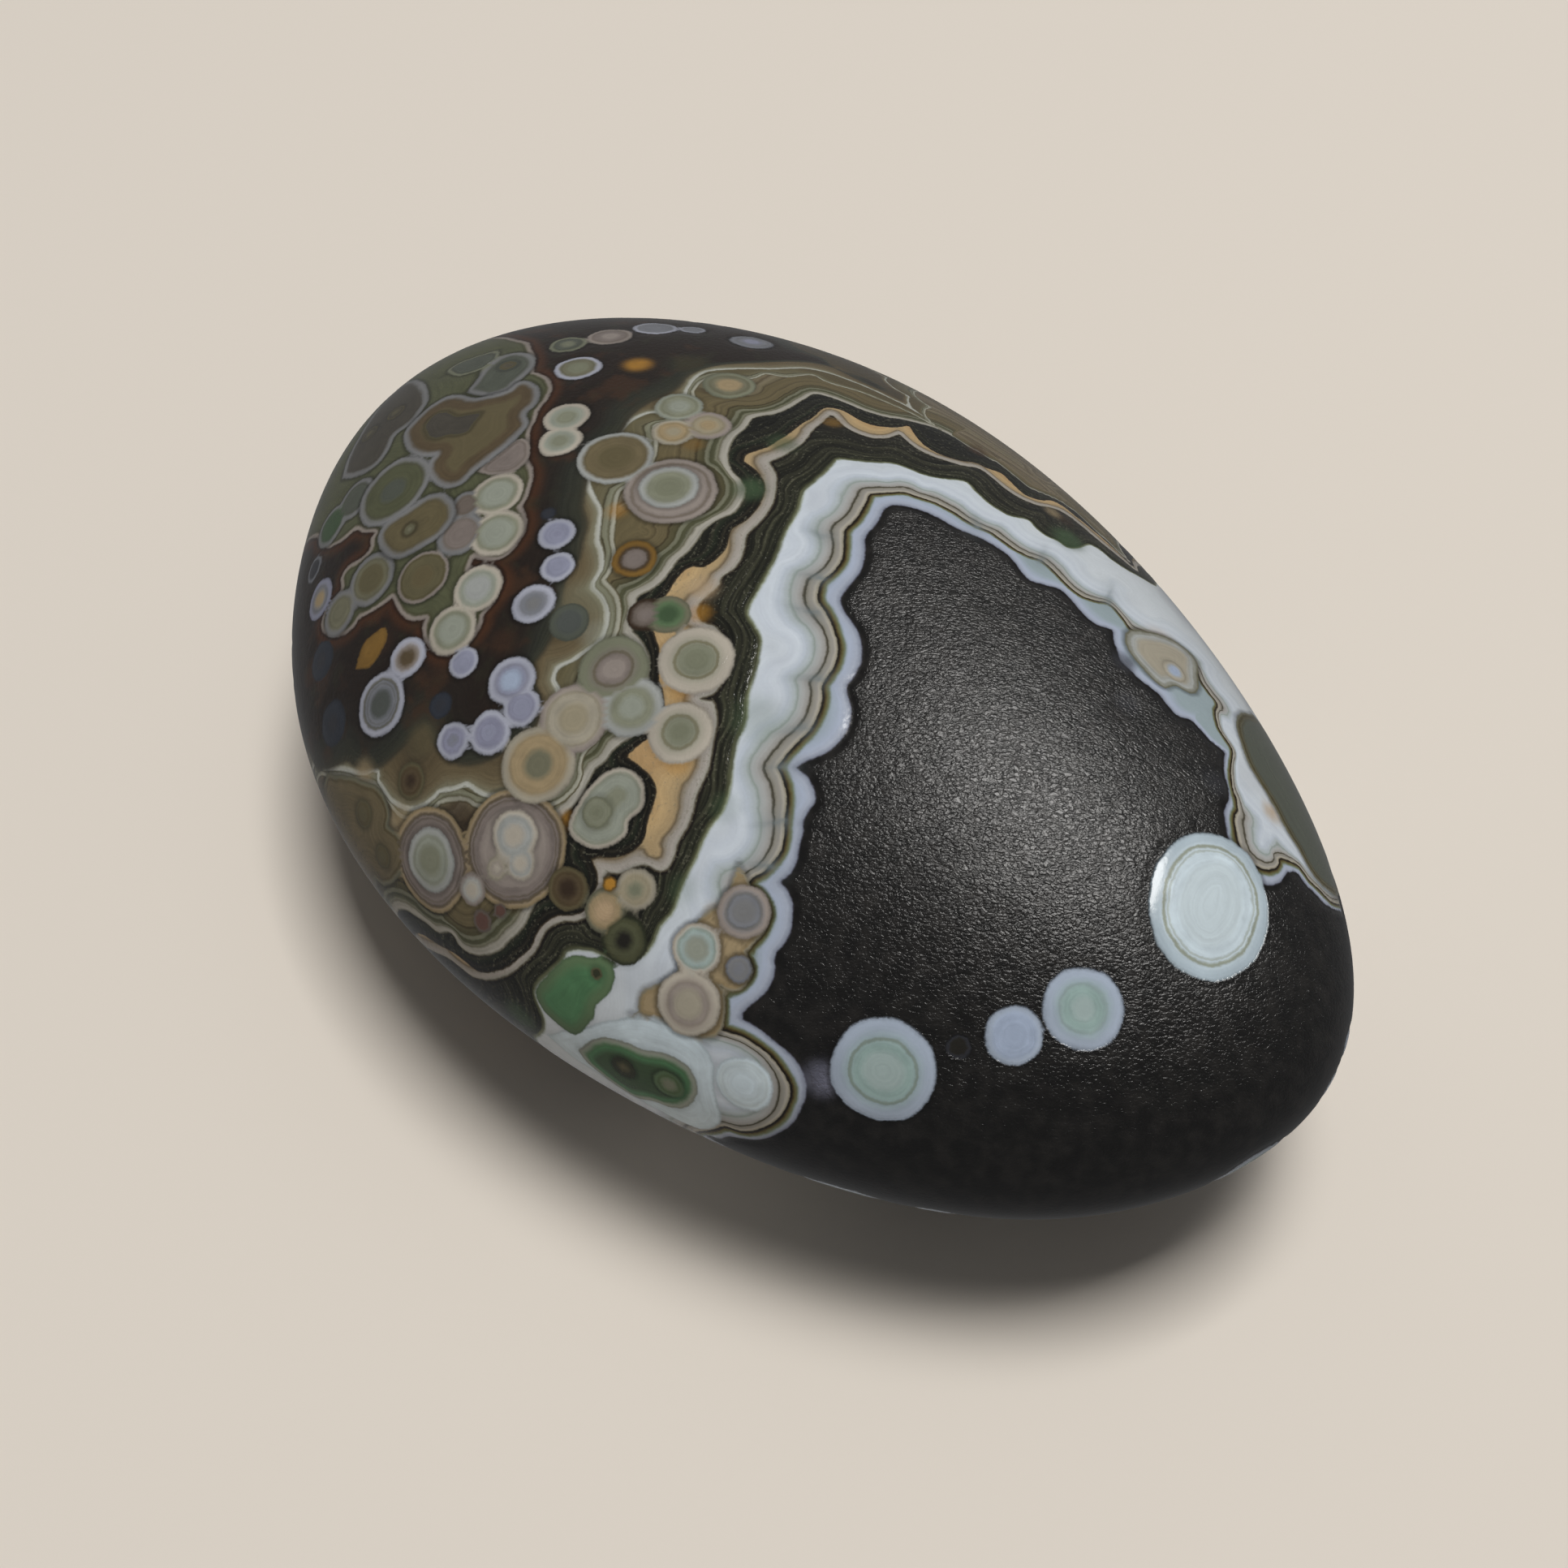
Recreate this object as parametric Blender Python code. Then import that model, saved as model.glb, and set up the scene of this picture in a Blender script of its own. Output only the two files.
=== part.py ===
"""Eye agate palm stone: one smooth pebble of banded chalcedony, longer than wide and wider than thick.

Metres, +Z up. The origin is the middle of the stone's bounding box, on the surface it rests on.
+X runs along the length, towards the slightly narrower end.
"""

import bmesh
import bpy
from math import cos, exp, radians, sin
from mathutils import Vector

# The stone before its resting spot is worn flat
LENGTH = 0.0700
WIDTH = 0.0454
THICKNESS = 0.0268

# The plan is an egg: it narrows towards +X, thins at both ends, and both ends swing towards +Y
TAPER = 0.09
END_THINNING = 0.05
BOW = 0.0016

# How much of the underside is worn off to make the small flat that it rests on
WORN_DEPTH = 0.0003

# Broad swells and hollows that keep the pebble from being a perfect egg.
# Each is a bearing from +X and a lift above the middle, in degrees, and its height in metres.
SWELLS = (
    (-137.0, 16.0, -0.00080),
    (-124.0, -7.0, 0.00055),
    (150.0, 15.0, -0.00030),
    (106.0, 26.0, 0.00035),
    (57.0, 10.0, -0.00020),
    (17.0, 1.0, 0.00035),
    (-12.0, -18.0, -0.00075),
    (-35.0, -13.0, 0.00100),
    (-59.0, -28.0, -0.00025),
)
SWELL_TIGHTNESS = 9.0

# Each triangle of the starting ball is split in four this many times, less one
SUBDIVISIONS = 5

COLOUR = (0.105, 0.098, 0.082, 1.0)
ROUGHNESS = 0.34
METALLIC = 0.0


def direction(bearing, lift):
    """The unit vector at a bearing from +X and a lift above the stone's middle, in degrees."""
    level = cos(radians(lift))
    return Vector((level * cos(radians(bearing)), level * sin(radians(bearing)), sin(radians(lift))))


def pebble_point(ball):
    """Where a point of the unit ball lies on the stone, with the stone's middle at zero."""
    half_width = WIDTH / 2 * (1 - TAPER * ball.x - END_THINNING * ball.x ** 2)
    point = Vector((
        LENGTH / 2 * ball.x,
        half_width * ball.y + BOW * ball.x ** 2,
        THICKNESS / 2 * ball.z,
    ))
    rise = 0.0
    for bearing, lift, height in SWELLS:
        closeness = ball.dot(direction(bearing, lift))
        rise += height * exp(SWELL_TIGHTNESS * (closeness - 1))
    return point + point.normalized() * rise


def wear_flat(shape, level):
    """Takes off what lies under a level and closes the stone there with one flat face."""
    whole = list(shape.verts) + list(shape.edges) + list(shape.faces)
    cut = bmesh.ops.bisect_plane(
        shape, geom=whole, plane_co=(0, 0, level), plane_no=(0, 0, 1), clear_inner=True
    )
    rim = [part for part in cut["geom_cut"] if isinstance(part, bmesh.types.BMEdge)]
    for vert in {vert for edge in rim for vert in edge.verts}:
        vert.co.z = level
    return bmesh.ops.contextual_create(shape, geom=rim)["faces"][0]


def set_on_origin(shape):
    """Moves the stone so that its box is centred over the origin and its flat is at height zero."""
    low = Vector([min(vert.co[axis] for vert in shape.verts) for axis in range(3)])
    high = Vector([max(vert.co[axis] for vert in shape.verts) for axis in range(3)])
    base = Vector(((low.x + high.x) / 2, (low.y + high.y) / 2, low.z))
    for vert in shape.verts:
        vert.co -= base


def build_stone():
    shape = bmesh.new()
    bmesh.ops.create_icosphere(shape, subdivisions=SUBDIVISIONS, radius=1.0)
    for vert in shape.verts:
        vert.co = pebble_point(vert.co.normalized())
    lowest = min(vert.co.z for vert in shape.verts)
    flat = wear_flat(shape, lowest + WORN_DEPTH)
    set_on_origin(shape)
    bmesh.ops.recalc_face_normals(shape, faces=list(shape.faces))
    flat_index = list(shape.faces).index(flat)

    mesh = bpy.data.meshes.new("stone")
    shape.to_mesh(mesh)
    shape.free()
    mesh.shade_smooth()
    mesh.polygons[flat_index].use_smooth = False

    agate = bpy.data.materials.new("agate")
    agate.use_nodes = True
    surface = agate.node_tree.nodes["Principled BSDF"]
    surface.inputs["Base Color"].default_value = COLOUR
    surface.inputs["Roughness"].default_value = ROUGHNESS
    surface.inputs["Metallic"].default_value = METALLIC
    mesh.materials.append(agate)

    stone = bpy.data.objects.new("stone", mesh)
    bpy.context.scene.collection.objects.link(stone)


for left_over in list(bpy.data.objects):
    bpy.data.objects.remove(left_over)
build_stone()
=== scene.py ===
"""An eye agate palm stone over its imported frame: the polished pebble, the growth bands that its
surface cuts through, and the round eyes between them."""
import math

import bpy
import numpy as np
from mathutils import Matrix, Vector
from mathutils.bvhtree import BVHTree
from mathutils.kdtree import KDTree


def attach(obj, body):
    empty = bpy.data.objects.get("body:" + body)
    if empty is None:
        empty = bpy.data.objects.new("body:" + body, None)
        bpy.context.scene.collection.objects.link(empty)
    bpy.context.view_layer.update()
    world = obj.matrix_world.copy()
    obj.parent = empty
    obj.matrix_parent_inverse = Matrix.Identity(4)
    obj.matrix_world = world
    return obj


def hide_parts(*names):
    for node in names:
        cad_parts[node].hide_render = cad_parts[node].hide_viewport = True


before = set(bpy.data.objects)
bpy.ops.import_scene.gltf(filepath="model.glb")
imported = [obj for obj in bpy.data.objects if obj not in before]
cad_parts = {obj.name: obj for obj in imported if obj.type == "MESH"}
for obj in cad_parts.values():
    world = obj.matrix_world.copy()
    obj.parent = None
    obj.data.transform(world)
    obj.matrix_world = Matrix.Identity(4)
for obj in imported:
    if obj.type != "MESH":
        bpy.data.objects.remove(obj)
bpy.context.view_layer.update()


# The pebble. One piece of banded agate, tumbled and hand-polished to an egg shape that is blunt
# at one end, thinner than it is wide and bowed a little along its length. Nine soft swells are
# left from tumbling, and it rests on a small worn flat.
MM = 0.001
LENGTH = 70.0
WIDTH = 45.4
THICKNESS = 26.8
TAPER = 0.09
END_THINNING = 0.05
BOW = 1.6
WORN_DEPTH = 0.3
SWELLS = [
    (-137, 16, -0.80),
    (-124, -7, 0.55),
    (150, 15, -0.30),
    (106, 26, 0.35),
    (57, 10, -0.20),
    (17, 1, 0.35),
    (-12, -18, -0.75),
    (-35, -13, 1.00),
    (-59, -28, -0.25),
]
SWELL_TIGHTNESS = 9.0
CELLS = (190, 124, 72)


class Wire:
    """An output socket on which Python arithmetic adds Math nodes."""

    def __init__(self, tree, socket):
        self.tree = tree
        self.socket = socket

    def math(self, operation, *others, clamp=False):
        settings = {"operation": operation, "use_clamp": clamp}
        return add(self.tree, "ShaderNodeMath", settings, self, *others)

    def pick(self, name):
        return Wire(self.tree, self.socket.node.outputs[name])

    def __add__(self, other):
        return self.math("ADD", other)

    __radd__ = __add__

    def __mul__(self, other):
        return self.math("MULTIPLY", other)

    __rmul__ = __mul__

    def __sub__(self, other):
        return self.math("SUBTRACT", other)

    def __rsub__(self, other):
        return add(self.tree, "ShaderNodeMath", {"operation": "SUBTRACT"}, other, self)

    def __truediv__(self, other):
        return self.math("DIVIDE", other)


def add(tree, kind, settings, *values, **named):
    """Adds a node: its type, its settings, then its sockets' values or links."""
    node = tree.nodes.new(kind)
    for setting, value in settings.items():
        if setting != "stops":
            setattr(node, setting, value)
            continue
        ramp = node.color_ramp
        while len(ramp.elements) < len(value):
            ramp.elements.new(1.0)
        for element, (place, colour) in zip(ramp.elements, value):
            element.position = place
            element.color = (*colour, 1.0)
    sockets = [s for s in node.inputs if s.enabled]
    given = list(zip(sockets, values))
    for name, value in named.items():
        label = name.replace("_", " ")
        given.append((next(s for s in sockets if s.name == label), value))
    for socket, value in given:
        if isinstance(value, Wire):
            tree.links.new(value.socket, socket)
        elif value is not None:
            socket.default_value = value
    return Wire(tree, next((s for s in node.outputs if s.enabled), None))


def vector_math(tree, operation, *values, **named):
    return add(tree, "ShaderNodeVectorMath", {"operation": operation}, *values, **named)


def bearing_way(bearing, lift):
    """The unit direction at a bearing round the stone and a lift above its middle, in degrees."""
    turn = math.radians(bearing)
    rise = math.radians(lift)
    return (math.cos(rise) * math.cos(turn), math.cos(rise) * math.sin(turn), math.sin(rise))


def pebble_tree(material):
    """The pebble's rule: a grid of cells blown up to a ball, then stretched, bowed and worn."""
    tree = bpy.data.node_groups.new("pebble", "GeometryNodeTree")
    tree.is_modifier = True
    sizes = {
        "Length": LENGTH * MM,
        "Width": WIDTH * MM,
        "Thickness": THICKNESS * MM,
        "Taper": TAPER,
        "End Thinning": END_THINNING,
        "Bow": BOW * MM,
        "Worn Depth": WORN_DEPTH * MM,
        "Swell Tightness": SWELL_TIGHTNESS,
    }
    counts = dict(zip(("Cells Along", "Cells Across", "Cells Deep"), CELLS))
    for name in sizes:
        tree.interface.new_socket(name, in_out="INPUT", socket_type="NodeSocketFloat")
    for name in counts:
        tree.interface.new_socket(name, in_out="INPUT", socket_type="NodeSocketInt")
    tree.interface.new_socket("Geometry", in_out="OUTPUT", socket_type="NodeSocketGeometry")
    asked = add(tree, "NodeGroupInput", {})
    length, width, thickness = (asked.pick(n) for n in ("Length", "Width", "Thickness"))
    grid = add(
        tree,
        "GeometryNodeMeshCube",
        {},
        (2.0, 2.0, 2.0),
        asked.pick("Cells Along") + 1,
        asked.pick("Cells Across") + 1,
        asked.pick("Cells Deep") + 1,
    )
    place = add(tree, "GeometryNodeInputPosition", {})
    even = vector_math(tree, "TANGENT", vector_math(tree, "SCALE", place, Scale=math.pi / 4))
    marked = add(
        tree,
        "GeometryNodeStoreNamedAttribute",
        {"data_type": "FLOAT_VECTOR", "domain": "POINT"},
        grid,
        Name="cell",
        Value=place,
    )
    ball = vector_math(tree, "NORMALIZE", even)
    parts = add(tree, "ShaderNodeSeparateXYZ", {}, ball)
    x, y, z = (parts.pick(n) for n in "XYZ")
    across = width * 0.5 * (1 - asked.pick("Taper") * x - asked.pick("End Thinning") * x * x)
    egg = add(
        tree,
        "ShaderNodeCombineXYZ",
        {},
        length * 0.5 * x,
        across * y + asked.pick("Bow") * x * x,
        thickness * 0.5 * z,
    )
    rise = None
    for bearing, lift, height in SWELLS:
        facing = vector_math(tree, "DOT_PRODUCT", ball, bearing_way(bearing, lift)).pick("Value")
        swell = ((facing - 1) * asked.pick("Swell Tightness")).math("EXPONENT") * (height * MM)
        rise = swell if rise is None else rise + swell
    lift_out = vector_math(tree, "SCALE", vector_math(tree, "NORMALIZE", egg), Scale=rise)
    egg = vector_math(tree, "ADD", egg, lift_out)
    blown = add(tree, "GeometryNodeSetPosition", {}, marked, Position=egg)
    measured = add(
        tree,
        "GeometryNodeAttributeStatistic",
        {"data_type": "FLOAT_VECTOR", "domain": "POINT"},
        blown,
        Attribute=place,
    )
    node = measured.socket.node
    low = Wire(tree, next(s for s in node.outputs if s.enabled and s.name == "Min"))
    high = Wire(tree, next(s for s in node.outputs if s.enabled and s.name == "Max"))
    low_parts = add(tree, "ShaderNodeSeparateXYZ", {}, low)
    middle = add(
        tree,
        "ShaderNodeSeparateXYZ",
        {},
        vector_math(tree, "SCALE", vector_math(tree, "ADD", low, high), Scale=0.5),
    )
    ground = low_parts.pick("Z") + asked.pick("Worn Depth")
    here = add(tree, "ShaderNodeSeparateXYZ", {}, place)
    rested = add(
        tree,
        "ShaderNodeCombineXYZ",
        {},
        here.pick("X") - middle.pick("X"),
        here.pick("Y") - middle.pick("Y"),
        here.pick("Z").math("MAXIMUM", ground) - ground,
    )
    worn = add(tree, "GeometryNodeSetPosition", {}, blown, Position=rested)
    smooth = add(tree, "GeometryNodeSetShadeSmooth", {}, worn)
    real = add(tree, "GeometryNodeRealizeInstances", {}, smooth)
    painted = add(tree, "GeometryNodeSetMaterial", {}, real, Material=material)
    add(tree, "NodeGroupOutput", {}, painted)
    return tree, {**sizes, **counts}


agate = bpy.data.materials.new("eye agate, polished")
pebble_rule, pebble_inputs = pebble_tree(agate)
seed_mesh = bpy.data.meshes.new("pebble seed")
maker = bpy.data.objects.new("pebble maker", seed_mesh)
bpy.context.scene.collection.objects.link(maker)
growth = maker.modifiers.new("pebble", "NODES")
growth.node_group = pebble_rule
for item in pebble_rule.interface.items_tree:
    if item.in_out == "INPUT":
        growth[item.identifier] = pebble_inputs[item.name]
depsgraph = bpy.context.evaluated_depsgraph_get()
stone_mesh = bpy.data.meshes.new_from_object(maker.evaluated_get(depsgraph))
stone_mesh.name = "agate_palm_stone"
bpy.data.objects.remove(maker)
stone = bpy.data.objects.new("agate_palm_stone", stone_mesh)
bpy.context.scene.collection.objects.link(stone)

count = len(stone_mesh.vertices)
surface = np.empty(count * 3)
stone_mesh.vertices.foreach_get("co", surface)
surface = surface.reshape(-1, 3) / MM
normals = np.empty(count * 3)
stone_mesh.vertices.foreach_get("normal", normals)
normals = normals.reshape(-1, 3)
skin = BVHTree.FromPolygons(
    surface.tolist(), [tuple(p.vertices) for p in stone_mesh.polygons], all_triangles=False
)


# The camera stands where the photograph was taken from, three-quarters on to the stone's narrower
# end and well above it. The markings below are traced from the photograph in its pixels, and go
# onto the stone through this camera. Their widths and radii are real sizes in millimetres.
PICTURE_SIDE = 1932
LENS = 50.0
SENSOR = 36.0
CAMERA_PLACE = Vector((53.291, -50.928, 109.836))
CAMERA_AIM = Vector((1.592, -1.653, 11.534))
STONE_PIXEL = Vector((1010.0, 945.0))
STRAY_STEP = 1.5
STRAY_STEPS = 60

camera_data = bpy.data.cameras.new("camera")
camera_data.lens = LENS
camera_data.sensor_width = SENSOR
camera = bpy.data.objects.new("camera", camera_data)
bpy.context.scene.collection.objects.link(camera)
looking = (CAMERA_AIM - CAMERA_PLACE).normalized()
camera.location = CAMERA_PLACE * MM
camera.rotation_euler = looking.to_track_quat("-Z", "Y").to_euler()
bpy.context.scene.camera = camera
camera_right = looking.cross(Vector((0, 0, 1))).normalized()
camera_up = camera_right.cross(looking)


def on_stone(x, y):
    """The place on the stone that a pixel of the photograph shows, or the nearest on its rim."""
    pixel = Vector((x, y))
    for _ in range(STRAY_STEPS):
        across = (pixel.x - PICTURE_SIDE / 2) * SENSOR / LENS / PICTURE_SIDE
        down = (pixel.y - PICTURE_SIDE / 2) * SENSOR / LENS / PICTURE_SIDE
        way = looking + camera_right * across - camera_up * down
        hit = skin.ray_cast(CAMERA_PLACE, way)[0]
        if hit is not None:
            return hit
        pixel += (STONE_PIXEL - pixel).normalized() * STRAY_STEP
    raise ValueError(f"no stone near pixel {x}, {y}")


# The growth bands. Silica was laid down in scalloped layers between the stone's brown end and a
# black glassy basin, and each front is the edge of one layer. A front is traced where the
# photograph shows it and carried on round the hidden side by bearing and lift, in lobes.
STONE_MIDDLE = np.array([0.0, 0.0, 13.1])
STONE_HALF = np.array([LENGTH, WIDTH, THICKNESS]) / 2
CORNER_COSINE = 0.55
LINE_STEPS = 5
LOBE_LENGTH = 4.2
LOBE_BULGE = 0.22
LOBE_ROUNDNESS = 0.7
LOBE_STEPS = 8

TONES = {
    "soot": (32, 30, 25),
    "umber": (56, 43, 31),
    "matrix": (37, 29, 24),
    "rust": (68, 46, 31),
    "brown": (86, 73, 53),
    "bronze": (96, 87, 62),
    "moss": (52, 55, 38),
    "forest": (64, 84, 58),
    "emerald": (80, 122, 84),
    "fern": (90, 112, 80),
    "olive": (94, 88, 64),
    "khaki": (112, 110, 90),
    "sage": (120, 122, 102),
    "celadon": (145, 149, 136),
    "sand": (152, 143, 120),
    "tan": (156, 138, 106),
    "peach": (178, 154, 122),
    "amber": (172, 124, 48),
    "honey": (124, 94, 44),
    "cream": (176, 168, 154),
    "rose": (146, 136, 128),
    "ash": (120, 120, 120),
    "slate": (78, 82, 78),
    "dusk": (50, 51, 56),
    "steel": (120, 122, 128),
    "lilac": (140, 142, 160),
    "pearl": (168, 170, 182),
    "sky": (166, 177, 192),
    "mint": (160, 176, 173),
    "ice": (200, 213, 219),
    "white": (196, 208, 212),
}

# A front has its line where it is seen, its turns on the hidden side by bearing and lift, how
# strong its growth lines are, where its colour sets in, and its tones by depth in millimetres.
FRONTS = [
    {
        "name": "shore",
        "seen": [
            (1654, 1123), (1647, 1121), (1638, 1117), (1629, 1110), (1619, 1099), (1608, 1088),
            (1601, 1077), (1597, 1074), (1589, 1073), (1585, 1076), (1581, 1083), (1575, 1089),
            (1565, 1091), (1554, 1089), (1547, 1084), (1540, 1076), (1530, 1062), (1518, 1045),
            (1515, 1033), (1511, 1020), (1509, 1006), (1509, 996), (1514, 985), (1513, 971),
            (1509, 958), (1508, 941), (1510, 926), (1501, 920), (1490, 911), (1479, 898),
            (1468, 887), (1452, 882), (1441, 871), (1430, 857), (1417, 846), (1403, 835),
            (1390, 822), (1381, 814), (1376, 800), (1372, 787), (1372, 776), (1365, 773),
            (1354, 770), (1341, 762), (1327, 746), (1316, 734), (1305, 725), (1287, 720),
            (1267, 712), (1257, 700), (1245, 686), (1230, 675), (1205, 661), (1180, 651),
            (1160, 640), (1150, 635), (1130, 627), (1112, 623), (1100, 622), (1090, 627),
            (1085, 636), (1080, 645), (1069, 658), (1066, 664), (1067, 674), (1066, 688),
            (1061, 703), (1050, 718), (1040, 731), (1036, 738), (1042, 755), (1055, 771),
            (1061, 786), (1063, 797), (1062, 815), (1054, 833), (1044, 847), (1047, 863),
            (1050, 876), (1047, 894), (1040, 909), (1025, 923), (1007, 933), (991, 940), (983, 946),
            (994, 955), (1001, 968), (1005, 986), (998, 997), (991, 1011), (991, 1026), (987, 1040),
            (984, 1057), (974, 1077), (961, 1087), (971, 1097), (977, 1114), (977, 1131),
            (974, 1148), (966, 1163), (954, 1177), (955, 1188), (954, 1203), (948, 1217),
            (937, 1229), (920, 1243), (913, 1254), (930, 1263), (944, 1274), (961, 1288),
            (977, 1302), (990, 1321), (994, 1340), (991, 1359), (980, 1381), (961, 1396),
            (942, 1404), (924, 1405), (908, 1403), (898, 1401), (886, 1404), (870, 1398),
        ],
        "hidden": [
            (-60, -18), (-52, -32), (-40, -44), (-18, -56), (8, -50), (32, -43), (34, -27),
            (42, -12), (40, 3),
        ],
        "streaks": 0.1,
        "edge": (-0.05, 0.07),
        "bands": [
            (0.0, (84, 84, 98)), (0.10, (136, 142, 156)), (0.30, (164, 171, 185)),
            (0.60, (168, 177, 194)), (1.00, (160, 171, 183)), (1.60, (150, 164, 168)),
        ],
    },
    {
        "name": "inner line",
        "seen": [
            (1652, 1116), (1639, 1110), (1626, 1097), (1613, 1084), (1601, 1068), (1593, 1063),
            (1581, 1059), (1575, 1057), (1577, 1061), (1574, 1068), (1565, 1073), (1554, 1071),
            (1541, 1063), (1530, 1048), (1523, 1030), (1521, 1017), (1521, 1004), (1525, 998),
            (1520, 976), (1516, 958), (1517, 940), (1519, 925), (1509, 909), (1501, 895),
            (1497, 876), (1500, 868), (1490, 854), (1479, 838), (1474, 822), (1455, 806),
            (1430, 792), (1410, 781), (1395, 776), (1384, 762), (1373, 749), (1365, 743),
            (1349, 740), (1333, 734), (1316, 721), (1300, 705), (1282, 690), (1267, 685),
            (1250, 676), (1230, 662), (1220, 655), (1205, 649), (1190, 641), (1175, 631),
            (1162, 624), (1152, 619), (1140, 615), (1127, 611), (1116, 607), (1100, 607),
            (1085, 608), (1072, 609), (1069, 618), (1062, 631), (1054, 642), (1042, 654),
            (1041, 662), (1041, 676), (1038, 691), (1028, 705), (1015, 715), (1011, 724),
            (1010, 740), (1018, 752), (1027, 770), (1032, 785), (1035, 799), (1031, 818),
            (1021, 836), (1015, 845), (1016, 858), (1013, 874), (1006, 890), (997, 903), (984, 916),
            (969, 933), (960, 946), (968, 962), (972, 988), (969, 1011), (968, 1034), (963, 1051),
            (951, 1066), (940, 1077), (928, 1083), (923, 1090), (937, 1103), (946, 1117),
            (947, 1131), (940, 1148), (928, 1163), (917, 1172), (923, 1186), (926, 1197),
            (920, 1208), (908, 1217), (897, 1216), (881, 1208), (888, 1223), (891, 1240),
            (891, 1254), (887, 1268), (902, 1272), (920, 1279), (946, 1297), (964, 1318),
            (975, 1340), (972, 1362), (958, 1381), (936, 1393), (914, 1395), (892, 1389),
            (883, 1393), (867, 1395),
        ],
        "hidden": [
            (-64, -20), (-57, -34), (-45, -48), (-22, -61), (8, -56), (35, -49), (39, -30),
            (48, -12), (45, 5),
        ],
        "streaks": 0.14,
        "edge": (-0.46, -0.24),
        "bands": [
            (-0.46, (134, 148, 146)), (-0.30, (112, 122, 98)), (-0.16, (98, 92, 56)),
            (-0.07, (64, 52, 26)), (0.0, (20, 15, 9)), (0.06, (36, 30, 20)),
            (0.12, (150, 143, 126)), (0.22, (172, 166, 153)), (0.34, (148, 144, 136)),
            (0.46, (144, 140, 130)), (0.54, (128, 124, 112)), (0.60, (60, 56, 44)),
            (0.66, (86, 82, 69)), (0.74, (152, 149, 143)), (0.95, (168, 168, 165)),
            (1.15, (166, 170, 168)), (1.25, (146, 155, 149)), (1.40, (172, 180, 181)),
            (1.75, (186, 194, 203)), (2.10, (204, 211, 218)), (2.55, (197, 204, 212)),
            (3.00, (204, 211, 217)), (3.60, (198, 205, 211)), (4.20, (204, 210, 214)),
        ],
    },
    {
        "name": "white contour",
        "seen": [
            (1425, 722), (1419, 719), (1408, 712), (1389, 702), (1370, 689), (1354, 676),
            (1341, 670), (1330, 674), (1316, 674), (1305, 667), (1290, 660), (1277, 650),
            (1267, 640), (1245, 635), (1230, 627), (1215, 617), (1202, 605), (1192, 594),
            (1180, 591), (1160, 589), (1140, 585), (1120, 577), (1100, 570), (1080, 569),
            (1055, 567), (1031, 564), (1026, 570), (1012, 585), (1000, 595), (990, 604), (986, 618),
            (983, 629), (975, 642), (966, 657), (960, 674), (951, 694), (934, 726), (920, 754),
            (928, 771), (936, 788), (933, 811), (927, 834), (921, 857), (918, 888), (908, 911),
            (903, 930), (900, 950), (897, 974), (888, 1000), (877, 1014), (866, 1034), (857, 1057),
            (848, 1074), (837, 1097), (828, 1123), (811, 1143), (803, 1163), (791, 1177),
            (780, 1183), (763, 1183), (751, 1180), (741, 1175), (726, 1170), (700, 1170),
            (691, 1183), (675, 1198), (660, 1214), (658, 1227), (664, 1243), (670, 1258),
            (668, 1269), (660, 1277),
        ],
        "hidden": [
            (-80, -18), (-78, -32), (-74, -48), (-70, -66), (-10, -74), (48, -62), (66, -44),
            (68, -26), (76, -8), (72, 10),
        ],
        "streaks": 1.9,
        "edge": (-0.26, -0.02),
        "bands": [
            (-0.26, (172, 182, 176)), (-0.10, (130, 136, 114)), (0.04, (86, 88, 64)),
            (0.16, (50, 52, 37)), (0.26, (30, 31, 23)), (0.40, (48, 49, 37)),
            (0.52, (29, 30, 22)), (0.74, (60, 60, 46)), (0.86, (34, 34, 26)),
            (1.10, (54, 54, 41)), (1.25, (30, 30, 23)), (1.60, (33, 33, 25)),
            (2.20, (52, 51, 39)), (2.45, (30, 30, 23)), (3.20, (36, 35, 28)),
        ],
    },
    {
        "name": "cream line",
        "seen": [
            (1404, 706), (1380, 687), (1354, 666), (1334, 649), (1314, 634), (1297, 626),
            (1280, 623), (1257, 614), (1240, 603), (1223, 589), (1206, 577), (1189, 574),
            (1160, 566), (1137, 557), (1120, 546), (1108, 534), (1097, 539), (1077, 540),
            (1057, 534), (1039, 524), (1025, 510), (1016, 519), (1001, 532), (991, 545), (978, 555),
            (962, 565), (949, 569), (957, 583), (958, 599), (955, 617), (944, 635), (931, 650),
            (921, 660), (919, 673), (914, 688), (905, 702), (889, 713), (889, 720), (877, 731),
            (864, 743), (860, 754), (864, 765), (880, 770), (893, 784), (899, 800), (898, 821),
            (891, 841), (880, 855), (864, 861), (880, 863), (884, 878), (884, 896), (880, 914),
            (878, 928), (873, 950), (861, 977), (856, 997), (849, 1018), (837, 1038), (832, 1055),
            (822, 1072), (812, 1074), (793, 1067), (774, 1074), (759, 1078), (743, 1074),
            (744, 1094), (736, 1108), (729, 1128), (710, 1136), (695, 1136), (683, 1141),
            (671, 1152), (661, 1174), (640, 1193), (624, 1204), (602, 1209), (584, 1205),
            (569, 1194), (553, 1182), (538, 1175), (517, 1163),
        ],
        "hidden": [
            (-94, -18), (-93, -34), (-92, -50), (-95, -70), (-50, -82), (72, -66), (80, -46),
            (78, -26), (80, -5), (74, 14),
        ],
        "streaks": 0.3,
        "edge": (-0.22, -0.10),
        "bands": [
            (-0.22, (30, 26, 20)), (-0.05, (24, 20, 16)), (0.03, (84, 77, 62)),
            (0.12, (160, 156, 145)), (0.26, (170, 163, 154)), (0.48, (156, 149, 139)),
            (0.60, (148, 138, 122)), (0.74, (112, 98, 76)), (0.90, (168, 146, 110)),
            (1.60, (190, 162, 118)), (2.40, (176, 145, 102)),
        ],
    },
    {
        "name": "dark band",
        "seen": [
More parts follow.
